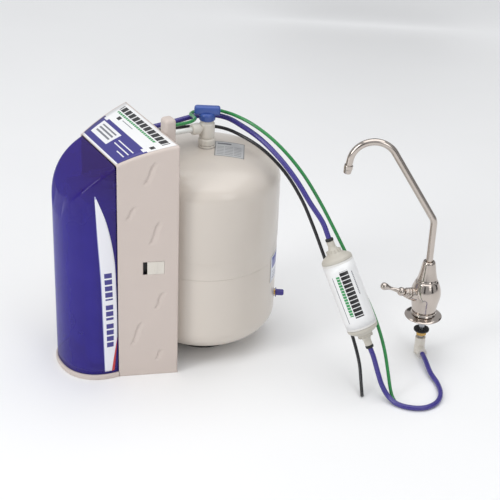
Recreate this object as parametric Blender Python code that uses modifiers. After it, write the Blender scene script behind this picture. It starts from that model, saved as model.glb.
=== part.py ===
"""Under-sink reverse osmosis drinking water unit: cartridge housing, pressure tank,
inline post filter, faucet and the tubes that join them.

Metres, +Z up. The origin is under the housing, at the middle of the seam between the
housing and its clear cover. The cover faces -Y and the pressure tank stands behind, at +Y.
"""

import math

import bmesh
import bpy
from mathutils import Matrix, Vector

MM = 0.001

# Driving dimensions
GAP = 0.3 * MM                  # between solids that touch
RUNNING_GAP = 0.4 * MM          # round pieces that turn or slide
WALL = 2.5 * MM

# Filter cartridges and the head they hang from
CARTRIDGE_RADIUS = 28 * MM
CARTRIDGE_LENGTH = 318 * MM
CARTRIDGE_GAP_X = 12 * MM       # between cartridges of one row
CARTRIDGE_GAP_Y = 3 * MM        # between the two rows
CARTRIDGE_SIDE_GAP = 18 * MM    # from a cartridge to the seam's side
CARTRIDGE_FRONT_GAP = 38 * MM   # from a cartridge to the front of the cover
CARTRIDGE_BACK_GAP = 2.3 * MM   # from a cartridge to the tank recess
CARTRIDGE_FLOOR_GAP = 8 * MM
FRONT_ROW_Y = -17 * MM
NECK_RADIUS = 20 * MM
NECK_LENGTH = 12 * MM
HEAD_THICKNESS = 22 * MM
HEAD_CORNER = 14 * MM
SCREW_RADIUS = 2 * MM
SCREW_HEAD_RADIUS = 4.2 * MM
SCREW_LENGTH = 18 * MM
SHUTOFF_RADIUS = 20 * MM
SHUTOFF_HEIGHT = 16 * MM
RESTRICTOR_RADIUS = 6 * MM
RESTRICTOR_LENGTH = 60 * MM

# Pressure tank
TANK_RADIUS = 140 * MM
TANK_HEIGHT = 400 * MM
TANK_DOME_RISE = 60 * MM
TANK_KNUCKLE = 2.35             # how square the dome's shoulder is; 2 is an ellipse
TANK_FOOT_RISE = 66 * MM
TANK_FOOT_HEIGHT = 6 * MM       # lowest point of the shell above the floor
TANK_SEAM_HEIGHT = 190 * MM
TANK_SEAM_STEP = 1 * MM         # the lower shell is this much narrower
TANK_WALL = 1.6 * MM
TANK_CLEARANCE = 5 * MM         # between the tank and the recess in the housing
TANK_NESTING = 27.5 * MM        # how far the tank reaches into the housing
RECESS_HEADROOM = 25 * MM       # from the tank's top to the top of the recess
FOOT_RING_RADIUS = 62 * MM
FOOT_RING_HEIGHT = 5.4 * MM
BLADDER_CLEARANCE = 16 * MM
BLADDER_WALL = 2 * MM
STEM_RADIUS = 6.5 * MM
STEM_BORE_RADIUS = 3 * MM
STEM_LENGTH = 18 * MM           # above the shell
AIR_VALVE_Z = 94 * MM
AIR_VALVE_BEARING = 60          # degrees from +X
AIR_STEM_RADIUS = 4 * MM
AIR_CAP_RADIUS = 6 * MM
AIR_CAP_LENGTH = 19 * MM

# Housing, clear cover and base
BACK_WIDTH = 230 * MM           # housing width at the back
COVER_INSET = 2 * MM            # the cover stands in from the housing's sides and roof
COVER_SQUARENESS = 2.3          # of the cover's plan; 2 is an ellipse
ROOF_RISE = 142 * MM            # from the top of the upright front to the ridge line
ROOF_RUN = 190 * MM             # from the seam back to where the roof's curve would be level
TRAY_HEIGHT = 10 * MM
TRAY_LIP = 3 * MM
LATCH_WINDOW_START = 43 * MM    # from the seam
LATCH_WINDOW_LENGTH = 39 * MM
LATCH_SLOT = 7.5 * MM
LATCH_HEIGHT = 26 * MM
LATCH_Z = 228 * MM

# Tubes, ports and tank valve
SMALL_TUBE = 6.35 * MM          # feed and drain tubes
LARGE_TUBE = 9.5 * MM           # tank and faucet tubes
PORT_WALL = 2.4 * MM
PORT_FLANGE = 5 * MM
COLLET_LENGTH = 9 * MM
PORT_RIM = 1.5 * MM             # how far a port's flange stands past its sleeve
PORT_GAP = 0.6 * MM             # between the flanges of neighbouring ports
PORT_STEP = 3 * MM              # drain and product ports stand this much over the tank port
BOOT_SIZE = (26 * MM, 22 * MM, 52 * MM)
BOOT_X = 45 * MM
FEED_EXIT_X = 50 * MM
FEED_EXIT_HEIGHT = 38 * MM      # above the tank tube
VALVE_RADIUS = 14.5 * MM
VALVE_HEIGHT = 48 * MM
BALL_RADIUS = 6.5 * MM
BALL_BORE = 3 * MM
SPINDLE_RADIUS = 3 * MM
ARM_RADIUS = 7.5 * MM
ARM_REACH = 24 * MM
NUT_RADIUS = 10.5 * MM
NUT_LENGTH = 15 * MM
HANDLE_SIZE = (48 * MM, 15 * MM, 17 * MM)
HANDLE_SKIRT_RADIUS = 15 * MM
HANDLE_SKIRT_HEIGHT = 14 * MM

# Inline post filter
FILTER_RADIUS = 29 * MM
FILTER_BODY_LENGTH = 130 * MM
FILTER_CAP_LENGTH = 26 * MM
FILTER_NECK_LENGTH = 12 * MM
FILTER_NECK_RADIUS = 7 * MM
FILTER_COLLET_LENGTH = 5 * MM
FILTER_TOP = Vector((0.229, 0.349, 0.286))
FILTER_DIRECTION = Vector((0.103, 0.046, -0.202))

# Faucet
FAUCET_X = 258 * MM
FAUCET_Y = 562 * MM
FLANGE_Z = 85 * MM
FLANGE_RADIUS = 36 * MM
FLANGE_HEIGHT = 7 * MM
FAUCET_BODY_RADIUS = 29 * MM
FAUCET_BODY_HEIGHT = 71 * MM
CONE_HEIGHT = 41 * MM
CONE_BASE_RADIUS = 20 * MM
CONE_TOP_RADIUS = 11.5 * MM
SPOUT_TUBE = 13 * MM
SPOUT_RISE = 78 * MM            # straight part above the cone
SPOUT_BEND = 26 * MM
SPOUT_SLANT_RISE = 126.6 * MM
SPOUT_SLANT_REACH = 80.4 * MM
SPOUT_ARC_RADIUS = 44 * MM
SPOUT_END_ANGLE = 8             # degrees the spout's mouth leans out from straight down
SPOUT_END = 9 * MM
LEVER_HEIGHT = 34 * MM          # of the side valve's axis in the body
BONNET_START = 38 * MM
BONNET_RADIUS = 11 * MM
BONNET_LENGTH = 13 * MM
LEVER_LENGTH = 42 * MM
SHANK_RADIUS = 5.5 * MM
SHANK_LENGTH = 62 * MM          # below the flange
SHANK_SOCKET = 9 * MM           # how far the shank screws into the body
ELBOW_RADIUS = 10 * MM
ELBOW_HEIGHT = 35 * MM
ELBOW_MOUTH_Z = 12 * MM
ELBOW_REACH = 24 * MM
SPOUT_FORWARD = Vector((-0.5, -0.866, 0.0)).normalized()

STEPS = 24
SMALL_STEPS = 16
COLOURS = {
    "cover": (0.05, 0.04, 0.25, 0.2, 0.0),
    "housing": (0.75, 0.71, 0.67, 0.45, 0.0),
    "tank": (0.80, 0.77, 0.73, 0.25, 0.0),
    "white": (0.85, 0.85, 0.83, 0.4, 0.0),
    "blue": (0.10, 0.18, 0.55, 0.35, 0.0),
    "green": (0.03, 0.35, 0.10, 0.4, 0.0),
    "black": (0.02, 0.02, 0.02, 0.4, 0.0),
    "rubber": (0.03, 0.03, 0.03, 0.8, 0.0),
    "cartridge": (0.88, 0.88, 0.86, 0.3, 0.0),
    "nickel": (0.72, 0.68, 0.64, 0.15, 1.0),
    "brass": (0.75, 0.58, 0.30, 0.3, 1.0),
    "steel": (0.65, 0.65, 0.66, 0.3, 1.0),
}


# --- scene and small helpers -------------------------------------------------------

def clear_scene():
    for item in list(bpy.data.objects):
        bpy.data.objects.remove(item, do_unlink=True)


def new_collection(name):
    made = bpy.data.collections.new(name)
    bpy.context.scene.collection.children.link(made)
    return made


def new_material(name):
    red, green, blue, roughness, metallic = COLOURS[name]
    made = bpy.data.materials.new(name)
    made.use_nodes = True
    shader = made.node_tree.nodes["Principled BSDF"]
    shader.inputs["Base Color"].default_value = (red, green, blue, 1.0)
    shader.inputs["Roughness"].default_value = roughness
    shader.inputs["Metallic"].default_value = metallic
    return made


clear_scene()
PARTS = new_collection("reverse_osmosis_unit")
CUTTERS = new_collection("cutters")
MATERIALS = {name: new_material(name) for name in COLOURS}


def add_object(name, data, colour):
    """An object of the unit, or a hidden cutter where colour is None."""
    made = bpy.data.objects.new(name, data)
    if colour is None:
        CUTTERS.objects.link(made)
        made.hide_render = True
        made.display_type = "WIRE"
    else:
        PARTS.objects.link(made)
        data.materials.append(MATERIALS[colour])
    return made


def place(item, location=(0, 0, 0), axis=None, turn=0.0, parent=None):
    """Puts the object at location, its local Z along axis, turned about it."""
    item.location = location
    if parent is not None:
        item.parent = parent
    if axis is not None:
        item.rotation_mode = "QUATERNION"
        item.rotation_quaternion = Vector(axis).to_track_quat("Z", "Y")
    elif turn:
        item.rotation_euler = (0, 0, turn)
    return item


def mesh_from(form, name):
    bmesh.ops.recalc_face_normals(form, faces=form.faces)
    mesh = bpy.data.meshes.new(name)
    form.to_mesh(mesh)
    form.free()
    return mesh


def box(name, size, colour=None, bevel=0.0):
    form = bmesh.new()
    bmesh.ops.create_cube(form, size=1.0)
    bmesh.ops.scale(form, vec=size, verts=form.verts)
    made = add_object(name, mesh_from(form, name), colour)
    if bevel:
        rounding = made.modifiers.new("rounding", "BEVEL")
        rounding.width = bevel
        rounding.segments = 2
    return made


def cylinder(name, radius, length, colour=None, steps=STEPS):
    """A cylinder whose lower end is at the object's origin."""
    form = bmesh.new()
    bmesh.ops.create_cone(form, cap_ends=True, segments=steps, radius1=radius,
                          radius2=radius, depth=length)
    bmesh.ops.translate(form, vec=(0, 0, length / 2), verts=form.verts)
    return add_object(name, mesh_from(form, name), colour)


def turned(name, profile, colour=None, steps=STEPS, closed=False):
    """A turned piece about its local Z; the profile of (radius, height) runs top to bottom."""
    form = bmesh.new()
    points = [form.verts.new((radius, 0, height)) for radius, height in profile]
    for first, second in zip(points, points[1:]):
        form.edges.new((first, second))
    if closed:
        form.edges.new((points[-1], points[0]))
    mesh = bpy.data.meshes.new(name)
    form.to_mesh(mesh)
    form.free()
    made = add_object(name, mesh, colour)
    screw = made.modifiers.new("turn", "SCREW")
    screw.steps = steps
    screw.render_steps = steps
    screw.use_merge_vertices = True
    screw.merge_threshold = 0.00001
    screw.use_smooth_shade = True
    return made


def arc(centre, radius, start, end, count, squareness=2.0, rise=None):
    """Points on an arc, in degrees; rise makes it an ellipse, squareness fills its shoulder."""
    tall = radius if rise is None else rise
    found = []
    for step in range(count + 1):
        angle = math.radians(start + (end - start) * step / count)
        across = abs(math.cos(angle)) ** (2 / squareness) * math.copysign(1, math.cos(angle))
        up = abs(math.sin(angle)) ** (2 / squareness) * math.copysign(1, math.sin(angle))
        found.append((centre[0] + radius * across, centre[1] + tall * up))
    return found


def prism(name, outline, low, high, colour=None, sideways=False):
    """A flat outline drawn from low to high along Z, or a YZ outline along X if sideways."""
    curve = bpy.data.curves.new(name, "CURVE")
    curve.dimensions = "2D"
    curve.fill_mode = "BOTH"
    curve.extrude = (high - low) / 2
    line = curve.splines.new("POLY")
    line.points.add(len(outline) - 1)
    for point, (x, y) in zip(line.points, outline):
        point.co = (x, y, 0, 1)
    line.use_cyclic_u = True
    drawn = bpy.data.objects.new(name + "_outline", curve)
    CUTTERS.objects.link(drawn)
    bpy.context.view_layer.update()
    graph = bpy.context.evaluated_depsgraph_get()
    mesh = bpy.data.meshes.new_from_object(drawn.evaluated_get(graph))
    bpy.data.objects.remove(drawn, do_unlink=True)
    form = bmesh.new()
    form.from_mesh(mesh)
    bpy.data.meshes.remove(mesh)
    bmesh.ops.remove_doubles(form, verts=form.verts, dist=0.00001)
    bmesh.ops.translate(form, vec=(0, 0, (low + high) / 2), verts=form.verts)
    if sideways:
        to_side = Matrix(((0, 0, 1), (1, 0, 0), (0, 1, 0)))
        bmesh.ops.transform(form, matrix=to_side.to_4x4(), verts=form.verts)
    return add_object(name, mesh_from(form, name), colour)


def combine(item, operation, other):
    step = item.modifiers.new(operation.lower(), "BOOLEAN")
    step.operation = operation
    step.object = other
    return item


def cut(item, *others):
    for other in others:
        combine(item, "DIFFERENCE", other)
    return item


def join(item, *others):
    for other in others:
        combine(item, "UNION", other)
    return item


def smooth_route(points, spacing):
    """Evenly spaced points on a smooth curve through the route's own points."""
    route = [Vector(point) for point in points]
    dense = []
    for i in range(len(route) - 1):
        before = route[i - 1] if i else 2 * route[0] - route[1]
        after = route[i + 2] if i + 2 < len(route) else 2 * route[-1] - route[-2]
        first, second = route[i], route[i + 1]
        knots = [0.0]
        for a, b in ((before, first), (first, second), (second, after)):
            knots.append(knots[-1] + (b - a).length ** 0.5)
        for step in range(24):
            t = knots[1] + (knots[2] - knots[1]) * step / 24
            a1 = before.lerp(first, (t - knots[0]) / (knots[1] - knots[0]))
            a2 = first.lerp(second, (t - knots[1]) / (knots[2] - knots[1]))
            a3 = second.lerp(after, (t - knots[2]) / (knots[3] - knots[2]))
            b1 = a1.lerp(a2, (t - knots[0]) / (knots[2] - knots[0]))
            b2 = a2.lerp(a3, (t - knots[1]) / (knots[3] - knots[1]))
            dense.append(b1.lerp(b2, (t - knots[1]) / (knots[2] - knots[1])))
    dense.append(route[-1])
    lengths = [0.0]
    for a, b in zip(dense, dense[1:]):
        lengths.append(lengths[-1] + (b - a).length)
    count = max(2, round(lengths[-1] / spacing))
    found, index = [], 0
    for step in range(count + 1):
        wanted = lengths[-1] * step / count
        while index < len(lengths) - 2 and lengths[index + 1] < wanted:
            index += 1
        share = (wanted - lengths[index]) / (lengths[index + 1] - lengths[index])
        found.append(dense[index].lerp(dense[index + 1], share))
    return found


def curve_tube(name, points, radius, colour, sides):
    """A round tube with filled ends through the points."""
    curve = bpy.data.curves.new(name, "CURVE")
    curve.dimensions = "3D"
    curve.bevel_depth = radius
    curve.bevel_resolution = sides
    curve.use_fill_caps = True
    line = curve.splines.new("POLY")
    line.points.add(len(points) - 1)
    for point, co in zip(line.points, points):
        point.co = (*co, 1)
    return add_object(name, curve, colour)


def tube(name, route, diameter, colour, spacing=2.9):
    """A tube along a smooth curve through the route, a point every spacing diameters."""
    points = smooth_route(route, spacing * diameter)
    return curve_tube(name, points, diameter / 2, colour, 2)


# --- cartridge housing -------------------------------------------------------------

CARTRIDGE_SPACING_X = 2 * CARTRIDGE_RADIUS + CARTRIDGE_GAP_X
CARTRIDGE_SPACING_Y = 2 * CARTRIDGE_RADIUS + CARTRIDGE_GAP_Y
REAR_ROW_Y = FRONT_ROW_Y + CARTRIDGE_SPACING_Y
RECESS_RADIUS = TANK_RADIUS + TANK_CLEARANCE
RECESS_HEIGHT = TANK_HEIGHT + RECESS_HEADROOM
RECESS_STEPS = 64
TANK_Y = REAR_ROW_Y + math.sqrt(
    (RECESS_RADIUS + WALL + CARTRIDGE_RADIUS + CARTRIDGE_BACK_GAP) ** 2
    - (CARTRIDGE_SPACING_X / 2) ** 2)
TANK_TUBE_Z = TANK_HEIGHT + 38 * MM
SEAM_WIDTH = CARTRIDGE_SPACING_X + 2 * CARTRIDGE_RADIUS + 2 * CARTRIDGE_SIDE_GAP
HOUSING_DEPTH = TANK_Y - TANK_RADIUS + TANK_NESTING
COVER_DEPTH = CARTRIDGE_RADIUS + CARTRIDGE_FRONT_GAP - FRONT_ROW_Y
COVER_EDGE = -2 * GAP           # rear edge of the cover, in front of the seam
SIDE_SLOPE = (BACK_WIDTH - SEAM_WIDTH) / 2 / HOUSING_DEPTH
SIDE_ANGLE = math.atan(SIDE_SLOPE)
# The roof clears both the filter head and the tubes that reach the tank's top.
ROOF_SPRING_HEIGHT = max(CARTRIDGE_LENGTH + 12 * MM, TANK_HEIGHT - 70 * MM)
FAR = 1.0


def half_width(y, inset=0.0):
    return SEAM_WIDTH / 2 + SIDE_SLOPE * y - inset / math.cos(SIDE_ANGLE)


def roof_outline(inset, front, back, floor):
    """Side view of the unit: up the front, over the rounded roof, down the back."""
    rise = ROOF_RISE - inset
    run = ROOF_RUN + COVER_DEPTH - inset
    last = math.degrees(math.acos((back - ROOF_RUN) / run))
    first = math.degrees(math.acos(max(-1.0, (front - ROOF_RUN) / run)))
    curve = arc((ROOF_RUN, ROOF_SPRING_HEIGHT), run, first, last, 22, rise=rise)
    return [(back, floor), (front, floor)] + curve


def housing_outline(inset, front, back):
    return [(-half_width(front, inset), front), (half_width(front, inset), front),
            (half_width(back, inset), back), (-half_width(back, inset), back)]


def cover_outline(inset, reach=0.0):
    """Plan of the cover: a rounded front, and sides that run on past its edge by reach."""
    half = SEAM_WIDTH / 2 - COVER_INSET - inset
    front = arc((0, COVER_EDGE), half, -180, 0, 26, squareness=COVER_SQUARENESS,
                rise=COVER_DEPTH + COVER_EDGE - inset)
    return front + [(half, COVER_EDGE + reach), (-half, COVER_EDGE + reach)] if reach else front


def latch_frame(name, side):
    """An empty in the middle of a side panel's latch window, its local X facing out."""
    frame = bpy.data.objects.new(name, None)
    PARTS.objects.link(frame)
    middle = LATCH_WINDOW_START + LATCH_WINDOW_LENGTH * math.cos(SIDE_ANGLE) / 2
    frame.location = (side * half_width(middle), middle, LATCH_Z)
    frame.rotation_euler = (0, 0, -SIDE_ANGLE if side > 0 else math.pi + SIDE_ANGLE)
    return frame


LATCH_FRAMES = {"right": latch_frame("latch_frame_right", 1),
                "left": latch_frame("latch_frame_left", -1)}


def make_housing():
    back = HOUSING_DEPTH
    housing = prism("rear_housing", housing_outline(0, 0, back), 0, FAR, "housing")
    roof = prism("roof_outside", roof_outline(0, -COVER_DEPTH, back + WALL, -WALL),
                 -FAR, FAR, sideways=True)
    recess = cylinder("tank_recess", RECESS_RADIUS, RECESS_HEIGHT + WALL, steps=RECESS_STEPS)
    place(recess, (0, TANK_Y, -WALL))
    inside = prism("housing_inside", housing_outline(WALL, -WALL, back - WALL), -2 * WALL, FAR)
    roof_inside = prism("roof_inside", roof_outline(WALL, -COVER_DEPTH + WALL, back, -3 * WALL),
                        -FAR, FAR, sideways=True)
    recess_wall = cylinder("recess_wall", RECESS_RADIUS + WALL, RECESS_HEIGHT + 3 * WALL,
                           steps=RECESS_STEPS)
    place(recess_wall, (0, TANK_Y, -2 * WALL))
    combine(inside, "INTERSECT", roof_inside)
    cut(inside, recess_wall)
    combine(housing, "INTERSECT", roof)
    cut(housing, recess, inside)
    for side, frame in LATCH_FRAMES.items():
        window = box("latch_window_" + side, (8 * WALL, LATCH_WINDOW_LENGTH, LATCH_HEIGHT))
        cut(housing, place(window, parent=frame))
    for name, (x, z, radius) in PORTS.items():
        hole = cylinder(name + "_hole", radius + PORT_WALL + GAP, 4 * WALL, steps=SMALL_STEPS)
        place(hole, (x, back - 3 * WALL, z), axis=(0, 1, 0))
        cut(housing, hole)
    return housing


def make_cover():
    cover = prism("front_cover", cover_outline(0), TRAY_HEIGHT + GAP, FAR, "cover")
    roof = prism("cover_roof", roof_outline(COVER_INSET, -COVER_DEPTH + GAP / 4, 8 * WALL, 0),
                 -FAR, FAR, sideways=True)
    inside = prism("cover_inside", cover_outline(WALL, reach=2 * WALL), 0, FAR)
    roof_inside = prism("cover_roof_inside",
                        roof_outline(COVER_INSET + WALL, -COVER_DEPTH + WALL / 2, 16 * WALL,
                                     -WALL),
                        -FAR, FAR, sideways=True)
    combine(inside, "INTERSECT", roof_inside)
    combine(cover, "INTERSECT", roof)
    return cut(cover, inside)


def make_tray():
    """The floor of the unit: a lipped nose under the cover and a tongue inside the housing."""
    nose = prism("base_tray", cover_outline(-TRAY_LIP), 0, TRAY_HEIGHT, "housing")
    back = HOUSING_DEPTH - WALL - GAP
    clear = WALL + GAP
    tongue = prism("tray_tongue", housing_outline(clear, -3 * GAP, back), 0, TRAY_HEIGHT)
    recess = cylinder("tray_recess", RECESS_RADIUS + WALL + GAP, 3 * TRAY_HEIGHT, steps=RECESS_STEPS)
    place(recess, (0, TANK_Y, -TRAY_HEIGHT))
    cut(tongue, recess)
    return join(nose, tongue)


def make_latches():
    length = LATCH_WINDOW_LENGTH - LATCH_SLOT - 2 * RUNNING_GAP
    height = LATCH_HEIGHT - 2 * RUNNING_GAP
    for side, frame in LATCH_FRAMES.items():
        tab = box("latch_tab_" + side, (WALL, length, height), "white")
        along = (LATCH_SLOT if side == "right" else -LATCH_SLOT) / 2
        place(tab, (-WALL / 2, along, 0), parent=frame)
        stem = box("latch_stem_" + side, (4 * WALL, length / 2, height / 3))
        place(stem, (-2.8 * WALL, along, 0), parent=frame)
        grip = box("latch_grip_" + side, (WALL, length / 6, height * 0.8))
        place(grip, (-WALL / 4, along, 0), parent=frame)
        join(tab, stem, grip)


# --- filter head and cartridges ----------------------------------------------------

CARTRIDGE_BOTTOM = TRAY_HEIGHT + CARTRIDGE_FLOOR_GAP
CARTRIDGE_TOP = CARTRIDGE_BOTTOM + CARTRIDGE_LENGTH
HEAD_Z = CARTRIDGE_TOP + RUNNING_GAP
CARTRIDGE_PLACES = {
    "cartridge_sediment": (CARTRIDGE_SPACING_X / 2, FRONT_ROW_Y),
    "cartridge_carbon": (-CARTRIDGE_SPACING_X / 2, FRONT_ROW_Y),
    "cartridge_carbon_block": (CARTRIDGE_SPACING_X / 2, REAR_ROW_Y),
    "cartridge_membrane": (-CARTRIDGE_SPACING_X / 2, REAR_ROW_Y),
}


def make_cartridge(name, x, y):
    bottom = CARTRIDGE_BOTTOM
    radius = CARTRIDGE_RADIUS
    neck = [(0, HEAD_Z + NECK_LENGTH), (NECK_RADIUS, HEAD_Z + NECK_LENGTH),
            (NECK_RADIUS, CARTRIDGE_TOP)]
    shoulder = [(radius - 3 * MM, CARTRIDGE_TOP), (radius, CARTRIDGE_TOP - 3 * MM)]
    foot = arc((radius * 0.55, bottom + radius * 0.45), radius * 0.45, 0, -90, 3)
    return place(turned(name, neck + shoulder + foot + [(0, bottom)], "cartridge", steps=20),
                 (x, y, 0))


def make_head():
    """The manifold that the cartridges hang from, hung from the housing's back wall."""
    front = FRONT_ROW_Y - CARTRIDGE_RADIUS
    back = REAR_ROW_Y + CARTRIDGE_RADIUS - CARTRIDGE_BACK_GAP
    half = CARTRIDGE_SPACING_X / 2 + CARTRIDGE_RADIUS - 1 * MM
    corner = HEAD_CORNER
    outline = []
    for (x, y), start in (((-half, front), 180), ((half, front), 270), ((half, back), 0),
                          ((-half, back), 90)):
        middle = (x - math.copysign(corner, x), y + (corner if y == front else -corner))
        outline += arc(middle, corner, start, start + 90, 4)
    head = prism("filter_head", outline, HEAD_Z, HEAD_Z + HEAD_THICKNESS, "white")
    for name, (x, y) in CARTRIDGE_PLACES.items():
        socket = cylinder(name + "_socket", NECK_RADIUS + RUNNING_GAP,
                          2 * NECK_LENGTH + RUNNING_GAP, steps=16)
        place(socket, (x, y, HEAD_Z - NECK_LENGTH))
        cut(head, socket)
    for x, y in SCREW_PLACES:
        hole = cylinder("screw_hole", SCREW_RADIUS + GAP, 4 * HEAD_THICKNESS, steps=12)
        cut(head, place(hole, (x, y, HEAD_Z - HEAD_THICKNESS)))
    return head


ROWS_MIDDLE = (FRONT_ROW_Y + REAR_ROW_Y) / 2
SCREW_X = CARTRIDGE_SPACING_X / 2 + CARTRIDGE_RADIUS - 8 * MM
SCREW_PLACES = [(0, FRONT_ROW_Y - CARTRIDGE_RADIUS + 10 * MM),
                (0, REAR_ROW_Y + CARTRIDGE_RADIUS - 12 * MM),
                (SCREW_X, ROWS_MIDDLE), (-SCREW_X, ROWS_MIDDLE)]


def make_head_screws():
    top = HEAD_Z + HEAD_THICKNESS + GAP
    for number, (x, y) in enumerate(SCREW_PLACES, 1):
        profile = [(0, 3 * MM), (SCREW_HEAD_RADIUS * 0.6, 3 * MM), (SCREW_HEAD_RADIUS, 1 * MM),
                   (SCREW_HEAD_RADIUS, 0), (SCREW_RADIUS, 0), (SCREW_RADIUS, 1 * MM - SCREW_LENGTH),
                   (0, -SCREW_LENGTH)]
        place(turned(f"head_screw_{number}", profile, "steel", steps=12), (x, y, top))


def make_shutoff_valve():
    """Two discs of the automatic shut-off valve, on top of the filter head."""
    base = HEAD_Z + HEAD_THICKNESS + GAP
    y = ROWS_MIDDLE + 12 * MM
    wide, tall = SHUTOFF_RADIUS, SHUTOFF_HEIGHT
    body = [(0, tall), (wide, tall), (wide, 2 * MM), (wide - 2 * MM, 0), (0, 0)]
    valve = place(turned("shutoff_valve_body", body, "white"), (0, y, base))
    cap = [(0, 13 * MM), (wide - 11 * MM, 13 * MM), (wide - 9 * MM, 9 * MM), (wide, 8 * MM),
           (wide, 0), (0, 0)]
    place(turned("shutoff_valve_cap", cap, "white"), (0, y, base + tall + GAP))
    for side, name in ((-1, "shutoff_port_left"), (1, "shutoff_port_right")):
        port = cylinder(name, 6 * MM, wide - 2 * MM, steps=20)
        place(port, (side * 12 * MM, y, base + tall / 2), axis=(side, 0, 0))
        join(valve, port)


def make_flow_restrictor():
    """A capillary cylinder in the drain line, lying on the filter head."""
    base = HEAD_Z + HEAD_THICKNESS + GAP
    full, long = RESTRICTOR_RADIUS, RESTRICTOR_LENGTH
    stub = SMALL_TUBE / 2
    profile = [(0, long), (stub, long), (stub, long - 10 * MM), (full, long - 11 * MM),
               (full, 11 * MM), (stub, 10 * MM), (stub, 0), (0, 0)]
    x = -CARTRIDGE_SPACING_X / 2 - 12 * MM
    return place(turned("flow_restrictor", profile, "white", steps=20),
                 (x, FRONT_ROW_Y + 8 * MM, base + full + GAP), axis=(0, 1, 0))


# --- ports on the back wall --------------------------------------------------------

PORT_SPACING = (SMALL_TUBE + LARGE_TUBE) / 2 + 2 * (PORT_WALL + PORT_RIM) + PORT_GAP
PORTS = {
    "tank_port": (0, TANK_TUBE_Z, LARGE_TUBE / 2),
    "drain_port": (-PORT_SPACING, TANK_TUBE_Z + PORT_STEP, SMALL_TUBE / 2),
    "product_port": (-2 * PORT_SPACING, TANK_TUBE_Z + PORT_STEP, LARGE_TUBE / 2),
}


def make_ports():
    """Push-fit collets through the back wall, each a flanged sleeve that grips a tube."""
    for name, (x, z, radius) in PORTS.items():
        outer = radius + PORT_WALL
        inner = radius + GAP
        rim = outer + PORT_RIM
        profile = [(outer, PORT_FLANGE), (rim, PORT_FLANGE - 1 * MM), (rim, GAP), (outer, GAP),
                   (outer, -COLLET_LENGTH),
                   (inner, -COLLET_LENGTH), (inner, PORT_FLANGE)]
        place(turned(name, profile, "white", steps=SMALL_STEPS, closed=True),
              (x, HOUSING_DEPTH, z), axis=(0, 1, 0))


def make_outlet_boot():
    """The rounded boot behind the ridge that the feed tube comes out of."""
    _, deep, tall = BOOT_SIZE
    boot = box("outlet_boot", BOOT_SIZE, "housing", bevel=7 * MM)
    boot.modifiers["rounding"].segments = 3
    return place(boot, (BOOT_X, HOUSING_DEPTH + GAP + deep / 2, TANK_TUBE_Z + tall / 2))


# --- pressure tank -----------------------------------------------------------------

TANK_DOME_START = TANK_HEIGHT - TANK_DOME_RISE
AIR_ANGLE = math.radians(AIR_VALVE_BEARING)
AIR_DIRECTION = Vector((math.cos(AIR_ANGLE), math.sin(AIR_ANGLE), 0))
AIR_VALVE = (Vector((0, TANK_Y, AIR_VALVE_Z))
             + AIR_DIRECTION * (TANK_RADIUS - TANK_SEAM_STEP))


def dome(radius, top, count):
    """Profile points from the middle of the dome out to the tank's side."""
    found = arc((0, TANK_DOME_START), radius, 90, 0, count, squareness=TANK_KNUCKLE,
                rise=top - TANK_DOME_START)
    return [(max(0.0, x), z) for x, z in found]


def bottom(radius, low, count):
    found = arc((0, low + TANK_FOOT_RISE), radius, 0, -90, count, squareness=TANK_KNUCKLE,
                rise=TANK_FOOT_RISE)
    return [(max(0.0, x), z) for x, z in found]


def make_tank():
    inner = TANK_RADIUS - TANK_WALL
    split = TANK_SEAM_HEIGHT + GAP
    hole = STEM_RADIUS + GAP
    outside = [(hole, TANK_HEIGHT)]
    outside += [point for point in dome(TANK_RADIUS, TANK_HEIGHT, 9) if point[0] > hole]
    inside = [(hole, TANK_HEIGHT - TANK_WALL)]
    inside += [point for point in dome(inner, TANK_HEIGHT - TANK_WALL, 7) if point[0] > hole]
    upper = turned("tank_shell_upper", outside + [(TANK_RADIUS, split), (inner, split)]
                   + inside[::-1], "tank", steps=36, closed=True)
    place(upper, (0, TANK_Y, 0))
    step = TANK_SEAM_STEP
    vent = 5 * MM
    low_out = [point for point in bottom(TANK_RADIUS - step, TANK_FOOT_HEIGHT, 8)
               if point[0] > vent]
    low_in = [point for point in bottom(inner - step, TANK_FOOT_HEIGHT + TANK_WALL, 7)
              if point[0] > vent]
    profile = [(TANK_RADIUS - step, TANK_SEAM_HEIGHT)] + low_out
    profile += [(vent, TANK_FOOT_HEIGHT), (vent, TANK_FOOT_HEIGHT + TANK_WALL)]
    profile += low_in[::-1] + [(inner - step, TANK_SEAM_HEIGHT)]
    lower = turned("tank_shell_lower", profile, "tank", steps=36, closed=True)
    place(lower, (0, TANK_Y, 0))
    hole_cutter = cylinder("air_valve_hole", AIR_STEM_RADIUS + GAP, 60 * MM, steps=20)
    place(hole_cutter, AIR_VALVE - AIR_DIRECTION * 30 * MM, axis=AIR_DIRECTION)
    cut(lower, hole_cutter)
    ring, top = FOOT_RING_RADIUS, FOOT_RING_HEIGHT
    ring_profile = [(ring, top), (ring + 4 * MM, top - 4 * MM), (ring + 4 * MM, 0),
                    (ring - 2 * MM, 0), (ring - 2 * MM, top - 2 * MM)]
    place(turned("tank_base_ring", ring_profile, "black", steps=24, closed=True), (0, TANK_Y, 0))


def bag_side(radius, top, low, shrink):
    """Profile points of the bladder's wall from its top to its bottom, moved in by shrink."""
    upper = arc((0, top - 50 * MM), radius - shrink, 90, 0, 5, squareness=2.2,
                rise=50 * MM - shrink)
    lower = arc((0, low + 60 * MM), radius - shrink, 0, -90, 5, squareness=2.2,
                rise=60 * MM - shrink)
    mouth = STEM_RADIUS + GAP
    return ([(mouth, top - shrink)] + [point for point in upper if point[0] > mouth]
            + lower[:-1] + [(0, low + shrink)])


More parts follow.
